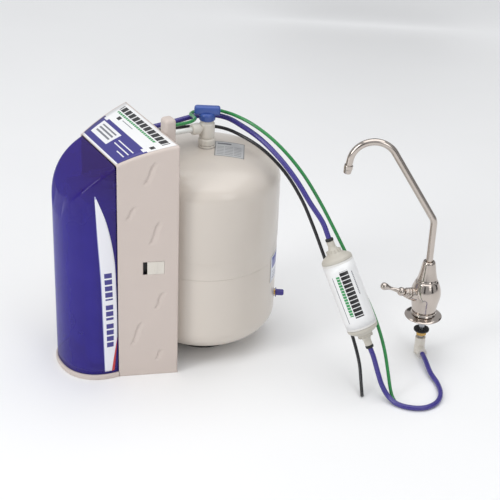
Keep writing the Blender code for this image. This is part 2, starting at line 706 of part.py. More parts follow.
def make_bladder():
    """The water bladder: a bag of butyl rubber hung under the stem's flange."""
    radius = TANK_RADIUS - BLADDER_CLEARANCE
    top = TANK_HEIGHT - 22 * MM
    low = TANK_SEAM_HEIGHT - 30 * MM
    outside = bag_side(radius, top, low, 0)
    inside = bag_side(radius, top, low, BLADDER_WALL)
    return place(turned("tank_bladder", inside[::-1] + outside, "rubber", steps=20),
                 (0, TANK_Y, 0))


def make_tank_fittings():
    flange = TANK_HEIGHT + GAP
    top = flange + STEM_LENGTH
    profile = [(STEM_RADIUS, top), (STEM_RADIUS, flange + 4 * MM), (15 * MM, flange + 3 * MM),
               (16 * MM, flange), (STEM_RADIUS, flange), (STEM_RADIUS, flange - 30 * MM),
               (STEM_BORE_RADIUS, flange - 30 * MM), (STEM_BORE_RADIUS, top)]
    place(turned("tank_stem", profile, "steel", steps=SMALL_STEPS, closed=True), (0, TANK_Y, 0))
    outer, wide = AIR_STEM_RADIUS, AIR_STEM_RADIUS + 3.5 * MM
    stem = [(outer, 11 * MM), (outer, 2 * MM), (wide, 1.6 * MM), (wide, GAP), (outer, GAP),
            (outer, -10 * MM), (1.5 * MM, -10 * MM), (1.5 * MM, 11 * MM)]
    place(turned("air_valve_stem", stem, "brass", steps=SMALL_STEPS, closed=True), AIR_VALVE,
          axis=AIR_DIRECTION)
    inner, full, long = AIR_STEM_RADIUS + RUNNING_GAP, AIR_CAP_RADIUS, AIR_CAP_LENGTH
    cap = [(0, long), (full - 1.5 * MM, long), (full - 0.5 * MM, long - 1 * MM), (full, 6 * MM),
           (full + 3 * MM, 4 * MM), (full + 3 * MM, 2.5 * MM), (inner, 2.5 * MM),
           (inner, 12 * MM), (0, 12 * MM)]
    place(turned("air_valve_cap", cap, "blue", steps=20), AIR_VALVE, axis=AIR_DIRECTION)


# --- tank valve --------------------------------------------------------------------

VALVE_BASE = TANK_HEIGHT + 4.8 * MM
VALVE_TOP = VALVE_BASE + VALVE_HEIGHT


def make_tank_valve():
    """A quarter-turn ball valve screwed on the tank's stem, its side port facing the housing."""
    wide, waist = VALVE_RADIUS, VALVE_RADIUS - 2.5 * MM
    body = [(0, VALVE_TOP), (waist - 2 * MM, VALVE_TOP), (waist, VALVE_TOP - 2 * MM),
            (waist, VALVE_TOP - 4 * MM), (wide, VALVE_TOP - 7 * MM),
            (wide, VALVE_BASE + 16 * MM), (waist, VALVE_BASE + 13 * MM),
            (wide + 1 * MM, VALVE_BASE + 11 * MM), (wide + 1 * MM, VALVE_BASE + 1 * MM),
            (wide, VALVE_BASE), (0, VALVE_BASE)]
    valve = place(turned("tank_valve_body", body, "white"), (0, TANK_Y, 0))
    arm = cylinder("valve_arm", ARM_RADIUS, ARM_REACH, steps=24)
    join(valve, place(arm, (0, TANK_Y, TANK_TUBE_Z), axis=(0, -1, 0)))
    stem_top = TANK_HEIGHT + GAP + STEM_LENGTH
    bores = [
        (STEM_RADIUS + GAP, (0, TANK_Y, VALVE_BASE - 5 * MM), (0, 0, 1),
         stem_top + GAP - VALVE_BASE + 5 * MM),
        (BALL_BORE, (0, TANK_Y, VALVE_BASE), (0, 0, 1), TANK_TUBE_Z - VALVE_BASE),
        (BALL_BORE, (0, TANK_Y, TANK_TUBE_Z), (0, -1, 0), 2 * ARM_REACH),
        (SPINDLE_RADIUS + RUNNING_GAP, (0, TANK_Y, TANK_TUBE_Z), (0, 0, 1), 60 * MM),
    ]
    for number, (radius, location, axis, length) in enumerate(bores):
        bore = cylinder(f"valve_bore_{number}", radius, length, steps=SMALL_STEPS)
        cut(valve, place(bore, location, axis=axis))
    chamber = turned("valve_chamber", arc((0, 0), BALL_RADIUS + RUNNING_GAP, 90, -90, 8),
                     steps=SMALL_STEPS)
    cut(valve, place(chamber, (0, TANK_Y, TANK_TUBE_Z)))
    reach = (BALL_RADIUS ** 2 - SPINDLE_RADIUS ** 2) ** 0.5
    spindle_top = VALVE_TOP + 9 * MM - TANK_TUBE_Z
    first = math.degrees(math.atan2(reach, SPINDLE_RADIUS))
    ball_profile = [(0, spindle_top), (SPINDLE_RADIUS, spindle_top)]
    ball_profile += arc((0, 0), BALL_RADIUS, first, -90, 8)
    ball = turned("tank_valve_ball", ball_profile, "steel", steps=SMALL_STEPS)
    way = cylinder("ball_way", BALL_BORE, 4 * BALL_RADIUS, steps=12)
    place(way, (0, TANK_Y, TANK_TUBE_Z), axis=(0, -1, 0))
    way_down = cylinder("ball_way_down", BALL_BORE, 2 * BALL_RADIUS, steps=12)
    place(way_down, (0, TANK_Y, TANK_TUBE_Z), axis=(0, 0, -1))
    cut(place(ball, (0, TANK_Y, TANK_TUBE_Z)), way, way_down)
    lap = 7.5 * MM
    outer, arm, bore = NUT_RADIUS, ARM_RADIUS + GAP, LARGE_TUBE / 2 + GAP
    nut = [(outer - 1 * MM, NUT_LENGTH), (outer, NUT_LENGTH - 2 * MM), (outer, 0), (arm, 0),
           (arm, lap + GAP), (bore, lap + GAP), (bore, NUT_LENGTH)]
    place(turned("tank_valve_nut", nut, "white", steps=SMALL_STEPS, closed=True),
          (0, TANK_Y - ARM_REACH + lap, TANK_TUBE_Z), axis=(0, -1, 0))


def make_valve_handle():
    hub = VALVE_TOP + GAP
    handle = box("tank_valve_handle", HANDLE_SIZE, "blue", bevel=5 * MM)
    handle.modifiers["rounding"].segments = 3
    place(handle, (0, TANK_Y, hub + 18 * MM), turn=math.radians(60))
    skirt = cylinder("handle_skirt", HANDLE_SKIRT_RADIUS, HANDLE_SKIRT_HEIGHT, steps=24)
    join(handle, place(skirt, (0, TANK_Y, hub)))
    socket = cylinder("handle_socket", SPINDLE_RADIUS + GAP, 20 * MM, steps=20)
    cut(handle, place(socket, (0, TANK_Y, hub - 10 * MM)))


# --- tubes and post filter ---------------------------------------------------------

FILTER_AXIS = FILTER_DIRECTION.normalized()
FILTER_LENGTH = FILTER_BODY_LENGTH + 2 * (FILTER_CAP_LENGTH + FILTER_NECK_LENGTH + GAP
                                          + FILTER_COLLET_LENGTH + GAP)


def along_filter(distance):
    return FILTER_TOP + FILTER_AXIS * distance


def make_post_filter():
    half = FILTER_BODY_LENGTH / 2
    middle = along_filter(FILTER_LENGTH / 2)
    body = [(0, half), (FILTER_RADIUS, half), (FILTER_RADIUS, -half), (0, -half)]
    place(turned("post_filter_body", body, "white"), middle, axis=-FILTER_AXIS)
    neck, full = FILTER_NECK_RADIUS, FILTER_RADIUS
    for end, outward in (("top", -FILTER_AXIS), ("bottom", FILTER_AXIS)):
        seat = middle + outward * (half + GAP)
        tall = FILTER_CAP_LENGTH + FILTER_NECK_LENGTH
        cap = [(0, tall), (neck, tall), (neck, FILTER_CAP_LENGTH), (neck + 4 * MM, 19 * MM),
               (neck + 6 * MM, 18 * MM), (neck + 7 * MM, 14 * MM), (full - 5 * MM, 9 * MM),
               (full - 1 * MM, 5 * MM), (full, 0), (0, 0)]
        place(turned("post_filter_cap_" + end, cap, "cartridge"), seat, axis=outward)
        long = FILTER_COLLET_LENGTH
        collet = [(0, long), (neck - 0.5 * MM, long), (neck + 0.5 * MM, long - 1 * MM),
                  (neck + 0.5 * MM, 1 * MM), (neck - 0.5 * MM, 0), (0, 0)]
        place(turned("post_filter_collet_" + end, collet, "white", steps=SMALL_STEPS),
              seat + outward * (tall + GAP), axis=outward)


def make_tubes():
    back = HOUSING_DEPTH
    start = back + BOOT_SIZE[1] + 2 * GAP
    feed_z = TANK_TUBE_Z + FEED_EXIT_HEIGHT
    feed = [(FEED_EXIT_X, start, feed_z), (FEED_EXIT_X, start + 12 * MM, feed_z),
            (0.046, 0.158, 0.475), (0.031, 0.175, 0.472), (0.009, 0.184, 0.467),
            (-0.015, 0.190, 0.462), (-0.031, 0.206, 0.4585), (-0.034, 0.227, 0.4575),
            (-0.023, 0.247, 0.458), (0.000, 0.257, 0.460), (0.024, 0.264, 0.461),
            (0.055, 0.278, 0.4555), (0.088, 0.297, 0.440), (0.121, 0.317, 0.415),
            (0.149, 0.339, 0.379), (0.176, 0.360, 0.333), (0.200, 0.376, 0.290),
            (0.231, 0.393, 0.238), (0.268, 0.409, 0.181), (0.303, 0.420, 0.128),
            (0.329, 0.423, 0.085), (0.348, 0.422, 0.047), (0.359, 0.4215, 0.022),
            (0.368, 0.421, 0.0085), (0.378, 0.420, 0.0036)]
    tube("green_tube", feed, SMALL_TUBE, "green")
    drain_x, drain_z, _ = PORTS["drain_port"]
    start = back + PORT_FLANGE + GAP
    drain = [(drain_x, start, drain_z), (drain_x, start + 14 * MM, drain_z),
             (-0.019, 0.168, 0.438), (-0.025, 0.203, 0.432), (-0.021, 0.234, 0.429),
             (0.000, 0.253, 0.429), (0.038, 0.266, 0.428), (0.080, 0.289, 0.413),
             (0.119, 0.315, 0.379), (0.148, 0.337, 0.332), (0.170, 0.353, 0.281),
             (0.191, 0.367, 0.227), (0.215, 0.379, 0.175), (0.242, 0.389, 0.124),
             (0.268, 0.395, 0.081), (0.295, 0.394, 0.043), (0.318, 0.385, 0.017),
             (0.340, 0.374, 0.0037)]
    tube("black_tube", drain, SMALL_TUBE, "black")
    product_x, product_z, _ = PORTS["product_port"]
    top = along_filter(-GAP)
    product = [(product_x, start, product_z), (product_x, start + 18 * MM, product_z + 1 * MM),
               (-0.036, 0.172, 0.444), (-0.038, 0.208, 0.446), (-0.030, 0.240, 0.447),
               (-0.006, 0.260, 0.447), (0.034, 0.272, 0.443), (0.078, 0.287, 0.431),
               (0.119, 0.303, 0.408), (0.156, 0.319, 0.376), (0.187, 0.332, 0.341),
               tuple(along_filter(-30 * MM)), tuple(top)]
    tube("blue_tube_upper", product, LARGE_TUBE, "blue")
    low = along_filter(FILTER_LENGTH + GAP)
    elbow = ELBOW_MOUTH + ELBOW_DIRECTION * GAP
    lead = ELBOW_MOUTH + ELBOW_DIRECTION * 26 * MM
    faucet_run = [tuple(low), tuple(along_filter(FILTER_LENGTH + 18 * MM)),
                  (0.345, 0.401, 0.051), (0.356, 0.405, 0.028), (0.371, 0.410, 0.012),
                  (0.390, 0.416, 0.0056), (0.411, 0.431, 0.0052), (0.424, 0.456, 0.0052),
                  (0.420, 0.485, 0.0052), (0.400, 0.509, 0.0052), (0.370, 0.524, 0.0056),
                  (0.338, 0.531, 0.0085), tuple(lead), tuple(elbow)]
    tube("blue_tube_lower", faucet_run, LARGE_TUBE, "blue")
    straight = [(0, start, TANK_TUBE_Z), (0, TANK_Y - ARM_REACH - GAP, TANK_TUBE_Z)]
    tube("tank_tube", straight, LARGE_TUBE, "white", spacing=4)


# --- faucet ------------------------------------------------------------------------

FAUCET = Vector((FAUCET_X, FAUCET_Y, 0))
BODY_Z = FLANGE_Z + FLANGE_HEIGHT
CONE_Z = BODY_Z + FAUCET_BODY_HEIGHT
ELBOW_DIRECTION = Vector((0.93, -0.37, 0)).normalized()
ELBOW_CENTRE = FAUCET + Vector((0, 0, ELBOW_MOUTH_Z))
ELBOW_MOUTH = ELBOW_CENTRE + ELBOW_DIRECTION * ELBOW_REACH
LEVER_AXIS = (SPOUT_FORWARD * 0.82 + Vector((0.5, -0.29, 0)) * 0.62
              + Vector((0, 0, 0.36))).normalized()
LEVER_START = FAUCET + Vector((0, 0, BODY_Z + LEVER_HEIGHT))


def make_faucet_body():
    top = FAUCET_BODY_HEIGHT
    wide = FAUCET_BODY_RADIUS
    flange = [(20 * MM, FLANGE_HEIGHT - GAP), (24 * MM, FLANGE_HEIGHT - 2 * MM),
              (FLANGE_RADIUS - 2 * MM, 2 * MM), (FLANGE_RADIUS, 0), (SHANK_RADIUS + GAP, 0),
              (SHANK_RADIUS + GAP, FLANGE_HEIGHT - GAP)]
    place(turned("faucet_flange", flange, "nickel", closed=True),
          FAUCET + Vector((0, 0, FLANGE_Z)))
    body = [(0, top), (CONE_BASE_RADIUS, top), (wide - 3 * MM, top - 14 * MM),
            (wide, top - 27 * MM), (wide - 0.8 * MM, top - 36 * MM), (wide - 3.5 * MM, top - 50 * MM),
            (wide - 5.5 * MM, top - 62 * MM), (wide - 6 * MM, 3 * MM), (wide - 4.5 * MM, 0), (0, 0)]
    piece = place(turned("faucet_body", body, "nickel"), FAUCET + Vector((0, 0, BODY_Z)))
    boss = cylinder("bonnet_boss", BONNET_RADIUS + 1 * MM, BONNET_START, steps=24)
    join(piece, place(boss, LEVER_START, axis=LEVER_AXIS))
    thread = cylinder("shank_socket", SHANK_RADIUS + GAP, SHANK_SOCKET + 11 * MM, steps=24)
    cut(piece, place(thread, FAUCET + Vector((0, 0, BODY_Z - 10 * MM))))
    return piece


def make_faucet_lever():
    """Bonnet of the side valve, and the quarter-turn lever on it."""
    wide = BONNET_RADIUS
    bonnet = [(0, BONNET_LENGTH), (wide - 4 * MM, BONNET_LENGTH),
              (wide - 2 * MM, BONNET_LENGTH - 3 * MM), (wide - 1.5 * MM, 4 * MM),
              (wide, 3 * MM), (wide, 0), (0, 0)]
    seat = BONNET_START + GAP
    place(turned("faucet_bonnet", bonnet, "nickel", steps=20),
          LEVER_START + LEVER_AXIS * seat, axis=LEVER_AXIS)
    start = LEVER_START + LEVER_AXIS * (seat + BONNET_LENGTH + GAP)
    boss = [(0, 14 * MM), (4 * MM, 13.5 * MM), (7.5 * MM, 11 * MM), (8.5 * MM, 7 * MM),
            (7.5 * MM, 3 * MM), (5 * MM, 0), (0, 0)]
    lever = place(turned("faucet_lever", boss, "nickel", steps=SMALL_STEPS), start,
                  axis=LEVER_AXIS)
    across = (SPOUT_FORWARD + Vector((0, 0, 0.30))).normalized()
    long = LEVER_LENGTH
    grip = [(0, long), (4 * MM, long - 1 * MM), (6.5 * MM, long - 4 * MM),
            (7.3 * MM, long - 8 * MM), (6.3 * MM, long - 12 * MM), (4 * MM, long - 17 * MM),
            (3.2 * MM, 18 * MM), (4.4 * MM, 8 * MM), (5 * MM, 0), (0, 0)]
    arm = turned("lever_arm", grip, steps=SMALL_STEPS)
    join(lever, place(arm, start + LEVER_AXIS * 7 * MM, axis=across))


def spout_path():
    """The spout's centre line as (forward, up): riser, bend, slant, crook and mouth."""
    rise = CONE_HEIGHT + SPOUT_RISE
    slope = math.degrees(math.atan2(SPOUT_SLANT_RISE, SPOUT_SLANT_REACH))
    path = [(0.0, 2 * GAP), (0.0, CONE_HEIGHT)]
    path += arc((SPOUT_BEND, rise), SPOUT_BEND, 180, 90 + slope, 5)
    path.append((path[-1][0] + SPOUT_SLANT_REACH, path[-1][1] + SPOUT_SLANT_RISE))
    lean = math.radians(slope)
    centre = (path[-1][0] + math.sin(lean) * SPOUT_ARC_RADIUS,
              path[-1][1] - math.cos(lean) * SPOUT_ARC_RADIUS)
    path += arc(centre, SPOUT_ARC_RADIUS, 90 + slope, SPOUT_END_ANGLE, 14)[1:]
    lean = math.radians(SPOUT_END_ANGLE)
    path.append((path[-1][0] + math.sin(lean) * SPOUT_END,
                 path[-1][1] - math.cos(lean) * SPOUT_END))
    return path


def make_spout():
    radius = SPOUT_TUBE / 2
    cone = [(CONE_TOP_RADIUS, CONE_HEIGHT), (CONE_BASE_RADIUS - 0.5 * MM, 3 * MM),
            (CONE_BASE_RADIUS, GAP), (radius + GAP, GAP), (radius + GAP, CONE_HEIGHT)]
    base = FAUCET + Vector((0, 0, CONE_Z))
    place(turned("faucet_collar", cone, "nickel", closed=True), base)
    path = [SPOUT_FORWARD * out + Vector((0, 0, up)) for out, up in spout_path()]
    spout = curve_tube("faucet_spout", path, radius, "nickel", 3)
    place(spout, base)
    outward = (path[-1] - path[-2]).normalized()
    bore, wide = radius - 0.5 * MM, radius + 1.8 * MM
    tip = [(0, 12 * MM), (bore, 12 * MM), (bore, 17 * MM), (wide - 1.1 * MM, 16 * MM),
           (wide - 0.5 * MM, 9 * MM), (wide, 8 * MM), (wide, 1 * MM), (wide - 0.5 * MM, 0), (0, 0)]
    place(turned("faucet_spout_tip", tip, "nickel", steps=SMALL_STEPS),
          base + path[-1] + outward * GAP, axis=outward)


def make_faucet_underside():
    """Threaded shank, washers, nut and the push-fit elbow that hang below the sink deck."""
    low = FLANGE_Z - SHANK_LENGTH
    bore = SHANK_RADIUS + GAP
    place(cylinder("faucet_shank", SHANK_RADIUS, SHANK_LENGTH + FLANGE_HEIGHT + SHANK_SOCKET,
                   "steel", steps=24), FAUCET + Vector((0, 0, low)))
    washer_z = FLANGE_Z - 33 * MM
    rings = (("faucet_rubber_washer", FLANGE_RADIUS - 6 * MM, 2.4 * MM,
              FLANGE_Z - 2.4 * MM - GAP, "rubber"),
             ("faucet_plastic_washer", 15 * MM, 3 * MM, washer_z, "black"))
    for name, outer, tall, z, colour in rings:
        profile = [(outer, tall), (outer, 0), (bore, 0), (bore, tall)]
        place(turned(name, profile, colour, steps=20, closed=True), FAUCET + Vector((0, 0, z)))
    tall = 9 * MM
    nut_place = FAUCET + Vector((0, 0, washer_z - tall - GAP))
    nut = place(cylinder("faucet_nut", 10.5 * MM, tall, "brass", steps=6), nut_place)
    hole = cylinder("nut_bore", bore, 3 * tall, steps=24)
    cut(nut, place(hole, nut_place - Vector((0, 0, tall))))
    mouth = cylinder("elbow_mouth", ELBOW_RADIUS - 1 * MM, ELBOW_REACH, steps=24)
    place(mouth, ELBOW_CENTRE, axis=ELBOW_DIRECTION)
    elbow = cylinder("faucet_elbow", ELBOW_RADIUS, ELBOW_HEIGHT, "white", steps=24)
    place(elbow, FAUCET + Vector((0, 0, 1 * MM)))
    socket = cylinder("elbow_socket", bore, ELBOW_HEIGHT, steps=24)
    place(socket, FAUCET + Vector((0, 0, low - GAP)))
    cut(join(elbow, mouth), socket)


def main():
    make_housing()
    make_cover()
    make_tray()
    make_latches()
    for name, (x, y) in CARTRIDGE_PLACES.items():
        make_cartridge(name, x, y)
    make_head()
    make_head_screws()
    make_shutoff_valve()
    make_flow_restrictor()
    make_ports()
    make_outlet_boot()
    make_tank()
    make_bladder()
    make_tank_fittings()
    make_tank_valve()
    make_valve_handle()
    make_post_filter()
    make_tubes()
    make_faucet_body()
    make_faucet_lever()
    make_spout()
    make_faucet_underside()


main()
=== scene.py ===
"""Finished look of an under-sink reverse osmosis unit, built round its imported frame.

Shapes are made in millimetres and scaled to metres when a piece is finished. The clear
cover faces -Y, the pressure tank stands behind at +Y, and +Z is up.
"""

import math

import bmesh
import bpy
from mathutils import Matrix, Vector


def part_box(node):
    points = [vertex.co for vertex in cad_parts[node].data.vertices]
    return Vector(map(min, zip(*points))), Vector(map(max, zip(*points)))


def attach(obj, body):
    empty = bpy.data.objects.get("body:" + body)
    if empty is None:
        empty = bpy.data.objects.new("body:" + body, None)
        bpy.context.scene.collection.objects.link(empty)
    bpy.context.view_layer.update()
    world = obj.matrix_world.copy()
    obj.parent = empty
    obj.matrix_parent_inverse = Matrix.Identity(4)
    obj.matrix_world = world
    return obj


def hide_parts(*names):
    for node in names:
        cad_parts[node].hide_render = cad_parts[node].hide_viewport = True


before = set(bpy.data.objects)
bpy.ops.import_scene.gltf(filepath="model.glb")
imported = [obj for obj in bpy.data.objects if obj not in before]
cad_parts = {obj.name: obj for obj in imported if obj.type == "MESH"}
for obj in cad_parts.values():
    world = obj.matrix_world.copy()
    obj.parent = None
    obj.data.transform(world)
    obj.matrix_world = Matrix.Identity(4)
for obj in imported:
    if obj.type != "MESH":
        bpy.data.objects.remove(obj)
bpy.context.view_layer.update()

MM = 0.001


def span(node):
    """A node's lowest and highest corner, in millimetres."""
    low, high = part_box(node)
    return Vector(low) / MM, Vector(high) / MM


def middle(node):
    low, high = span(node)
    return (low + high) / 2


# --- sizes, from the frame ----------------------------------------------------------

WALL = 2.5
GAP = 0.3
HOUSING_DEPTH = middle("rear_housing").y * 2
HALF_BACK = span("rear_housing")[1].x
HALF_SEAM = 80.0
SPRING_Z = 330.0                # where the roof starts to curve
RIDGE_Y = 190.0                 # where the roof's curve would be level
ROOF_RISE = 142.0
ROOF_REACH = 273.0
COVER_DROP = 2.0                # the cover's roof lies this far under the housing's
COVER_HALF = span("front_cover")[1].x
COVER_EDGE = -0.6
COVER_DEPTH = COVER_EDGE - span("front_cover")[0].y
COVER_SQUARENESS = 2.3
COVER_Z = 10.3
TANK_Y = middle("tank_shell_upper").y
TANK_RADIUS = span("tank_shell_upper")[1].x
TANK_TOP = span("tank_shell_upper")[1].z
TANK_SEAM = span("tank_shell_upper")[0].z
RECESS_RADIUS = TANK_RADIUS + 5
RECESS_Z = 425.0
WINDOW_Y = (43.0, 79.97)
WINDOW_Z = (215.0, 241.0)
WINDOW_MIDDLE_Y = sum(WINDOW_Y) / 2
WINDOW_MIDDLE_Z = sum(WINDOW_Z) / 2
TUBE_Z = 438.0
FORWARD = Vector((-0.5, -0.866, 0)).normalized()
FAUCET = middle("faucet_flange")
FAUCET.z = 0
LEVER_AXIS = Vector((-0.1036, -0.9220, 0.3730)).normalized()
FILTER_TOP = Vector((229, 349, 286))
FILTER_AXIS = Vector((103, 46, -202)).normalized()
FILTER_MIDDLE = 108.6


# --- camera -------------------------------------------------------------------------

def aim_camera(azimuth, elevation, roll, lens, place):
    """A camera looking along azimuth and down by elevation, turned by roll, in degrees."""
    az, el, turn = (math.radians(angle) for angle in (azimuth, elevation, roll))
    back = Vector((math.sin(az) * math.cos(el), -math.cos(az) * math.cos(el), math.sin(el)))
    level = (-back).cross(Vector((0, 0, 1))).normalized()
    upright = level.cross(-back)
    right = level * math.cos(turn) + upright * math.sin(turn)
    up = upright * math.cos(turn) - level * math.sin(turn)
    data = bpy.data.cameras.new("camera")
    data.lens = lens
    data.clip_end = 50
    camera = bpy.data.objects.new("camera", data)
    bpy.context.scene.collection.objects.link(camera)
    camera.matrix_world = Matrix.Translation(place) @ Matrix((right, up, back)).transposed().to_4x4()
    bpy.context.scene.camera = camera


VIEW_AZIMUTH = 59.76
VIEW_ELEVATION = 28.09
VIEW_ROLL = 2.42
LENS = 92.38
aim_camera(VIEW_AZIMUTH, VIEW_ELEVATION, VIEW_ROLL, LENS, Vector((1.93369, -0.80821, 1.35245)))


# --- finishes -----------------------------------------------------------------------

class Value:
    """A shader socket that arithmetic is written on."""

    def __init__(self, finish, socket):
        self.finish = finish
        self.socket = socket

    def math(self, operation, first, second=0.0):
        return self.finish.node("ShaderNodeMath", {"operation": operation}, {0: first, 1: second})

    def __add__(self, other):
        return self.math("ADD", self, other)

    def __sub__(self, other):
        return self.math("SUBTRACT", self, other)

    def __rsub__(self, other):
        return self.math("SUBTRACT", other, self)

    def __mul__(self, other):
        return self.math("MULTIPLY", self, other)

    def __mod__(self, other):
        return self.math("FLOORED_MODULO", self, other)

    def __lt__(self, other):
        return self.math("LESS_THAN", self, other)

    def __gt__(self, other):
        return self.math("GREATER_THAN", self, other)

    __radd__ = __add__
    __rmul__ = __mul__

    def within(self, low, high):
        return (self > low) * (self < high)

    def either(self, other):
        return self.math("MAXIMUM", self, other)

    def eased(self, low, high):
        """0 below low and 1 above high, with a soft turn at each end."""
        return self.finish.node("ShaderNodeMapRange", {"interpolation_type": "SMOOTHSTEP"},
                                {0: self, 1: low, 2: high})


class Finish:
    """A material, its shader, and short ways to add what varies over the surface."""

    def __init__(self, name, **fixed):
        self.material = bpy.data.materials.new(name)
        self.material.use_nodes = True
        self.tree = self.material.node_tree
        self.shader = self.tree.nodes["Principled BSDF"]
        for socket, value in fixed.items():
            self.shader.inputs[socket.replace("_", " ")].default_value = value

    def node(self, kind, settings=None, sockets=None, output=0):
        made = self.tree.nodes.new(kind)
        for key, value in (settings or {}).items():
            setattr(made, key, value)
        for key, value in (sockets or {}).items():
            self.feed(made.inputs[key], value)
        return Value(self, made.outputs[output])

    def feed(self, socket, value):
        if isinstance(value, Value):
            self.tree.links.new(value.socket, socket)
        else:
            socket.default_value = value

    def set(self, socket, value):
        self.feed(self.shader.inputs[socket], value)

    def spot(self, kind="Object"):
        return self.node("ShaderNodeTexCoord", output=kind)

    def axes(self, kind="Object"):
        """The three coordinates, in metres for Object and 0 to 1 for UV."""
        split = self.node("ShaderNodeSeparateXYZ", sockets={0: self.spot(kind)})
        return [Value(self, output) for output in split.socket.node.outputs]

    def noise(self, size, detail=2.0, stretch=(1, 1, 1)):
        """Noise whose blotches are about size millimetres across."""
        where = self.node("ShaderNodeMapping", sockets={"Vector": self.spot(), "Scale": stretch})
        return self.node("ShaderNodeTexNoise", sockets={
            "Vector": where, "Scale": 1 / (size * MM), "Detail": detail})

    def blend(self, mask, first, second):
        return self.node("ShaderNodeMix", {"data_type": "RGBA"}, {0: mask, 6: first, 7: second}, 2)

    def bump(self, height, depth):
        """Raises the surface by depth millimetres where height is 1."""
        self.set("Normal", self.node("ShaderNodeBump", sockets={
            "Distance": depth * MM, "Height": height}))


def tint(red, green, blue, light=1.0):
    """A display colour, 0 to 255, as a shader colour, made lighter or darker by light."""
    shades = []
    for level in (red, green, blue):
        share = level / 255
        share = share / 12.92 if share <= 0.04045 else ((share + 0.055) / 1.055) ** 2.4
        shades.append(min(1.0, share * light))
    return (*shades, 1.0)


def moulded(name, shade, roughness=0.4, grain=0.8, depth=0.02, mottle=0.05, **fixed):
    """Moulded plastic: a fine grain, faint clouding and a little unevenness in its gloss."""
    finish = Finish(name, **fixed)
    cloud = finish.noise(45, 3)
    speck = finish.noise(grain, 3)
    base = finish.blend(cloud, tint(*shade, 1 - mottle), tint(*shade, 1 + mottle))
    finish.set("Base Color", finish.blend((speck > 0.68) * 0.25, base, tint(*shade, 0.9)))
    finish.set("Roughness", roughness + (cloud - 0.5) * 0.12)
    finish.bump(speck, depth)
    return finish.material


def enamel(name, shade):
    """Sprayed gloss enamel on steel, with the faint orange peel that spray leaves."""
    finish = Finish(name, Coat_Weight=0.35, Coat_Roughness=0.12)
    cloud = finish.noise(120, 2)
    peel = finish.noise(3.5, 2)
    dust = finish.noise(0.9, 1)
    base = finish.blend(cloud, tint(*shade, 0.98), tint(*shade, 1.03))
    finish.set("Base Color", finish.blend((dust > 0.73) * 0.3, base, tint(*shade, 0.85)))
    finish.set("Roughness", 0.3 + (peel - 0.5) * 0.1)
    finish.bump(peel, 0.035)
    return finish.material


def plated(name, shade, roughness=0.12, brush=(1, 1, 1)):
    """Plated metal, polished, with fine wiping marks and a slightly uneven gloss."""
    finish = Finish(name, Metallic=1.0)
    marks = finish.noise(1.2, 4, brush)
    film = finish.noise(24, 3)
    finish.set("Base Color", finish.blend(film, tint(*shade, 0.93), tint(*shade, 1.05)))
    finish.set("Roughness", roughness + (marks - 0.5) * 0.06 + (film > 0.6) * 0.03)
    finish.bump(marks, 0.006)
    return finish.material


def tubing(name, shade):
    """Extruded plastic tube: glossy, with faint drawn lines and a slight flush of tone."""
    finish = Finish(name, Coat_Weight=0.3, Coat_Roughness=0.15)
    flush = finish.noise(30, 2)
    drawn = finish.noise(2.2, 3)
    finish.set("Base Color", finish.blend(flush, tint(*shade, 0.85), tint(*shade, 1.2)))
    finish.set("Roughness", 0.28 + (drawn - 0.5) * 0.15)
    finish.bump(drawn, 0.02)
    return finish.material


def cover_finish():
    """Clear tinted plastic, deep violet blue, with its roof painted darker as painted shade: the
    cartridges show faintly through it.
    """
    finish = Finish("tinted_clear_cover", Coat_Weight=0.25, Coat_Roughness=0.04,
                    Specular_IOR_Level=0.35)
    _, _, high = finish.axes()
    cloud = finish.noise(70, 2)
    haze = finish.noise(4, 3)
    deep = finish.blend(cloud, tint(58, 42, 142), tint(66, 50, 158))
    # Painted shade: from 0.30 to 0.42 m up, the cover blends to a darker violet that stands for its
    # shaded top.
    finish.set("Base Color", finish.blend(high.eased(0.30, 0.42), deep, tint(62, 38, 124)))
    finish.set("Roughness", 0.2 + (haze - 0.5) * 0.15)
    finish.bump(haze, 0.01)
    clear = finish.node("ShaderNodeBsdfTransparent", sockets={"Color": (0.17, 0.18, 0.66, 1)})
    body = Value(finish, finish.shader.outputs[0])
    mixed = finish.node("ShaderNodeMixShader", sockets={0: 0.50 + cloud * 0.06, 1: clear, 2: body})
    finish.tree.links.new(mixed.socket, finish.tree.nodes["Material Output"].inputs[0])
    return finish.material


def inner_skin():
    """The clear cover's inner face, which adds only a faint haze."""
    finish = Finish("cover_inner_skin", Roughness=0.2)
    haze = finish.noise(20, 2)
    finish.set("Base Color", finish.blend(haze, tint(48, 36, 120), tint(60, 48, 140)))
    finish.set("Alpha", 0.05 + haze * 0.03)
    return finish.material


def printed(name, draw, paper, roughness=0.35):
    """A printed film: draw gives the finish, u and v and returns [(mask, ink), ...]."""
    finish = Finish(name, Coat_Weight=0.4, Coat_Roughness=0.15)
    across, along, _ = finish.axes("UV")
    fibre = finish.noise(0.7, 3)
    colour = finish.blend(fibre, tint(*paper, 0.97), tint(*paper, 1.02))
    for mask, ink in draw(across, along):
        colour = finish.blend(mask, colour, tint(*ink))
    finish.set("Base Color", colour)
    finish.set("Roughness", roughness + (fibre - 0.5) * 0.1)
    finish.bump(fibre, 0.008)
    return finish.material


INDIGO = (52, 46, 132)
WHITE = (236, 236, 238)
BLACK = (22, 22, 24)
GREEN = (52, 150, 84)
GREY = (120, 122, 128)
RED = (196, 36, 44)


def patch(u, v, left, right, low, high):
    return u.within(left, right) * v.within(low, high)


def dashes(position, pitch, share):
    """Blocks along a direction: share of each pitch is filled."""
    return (position % pitch) < (pitch * share)


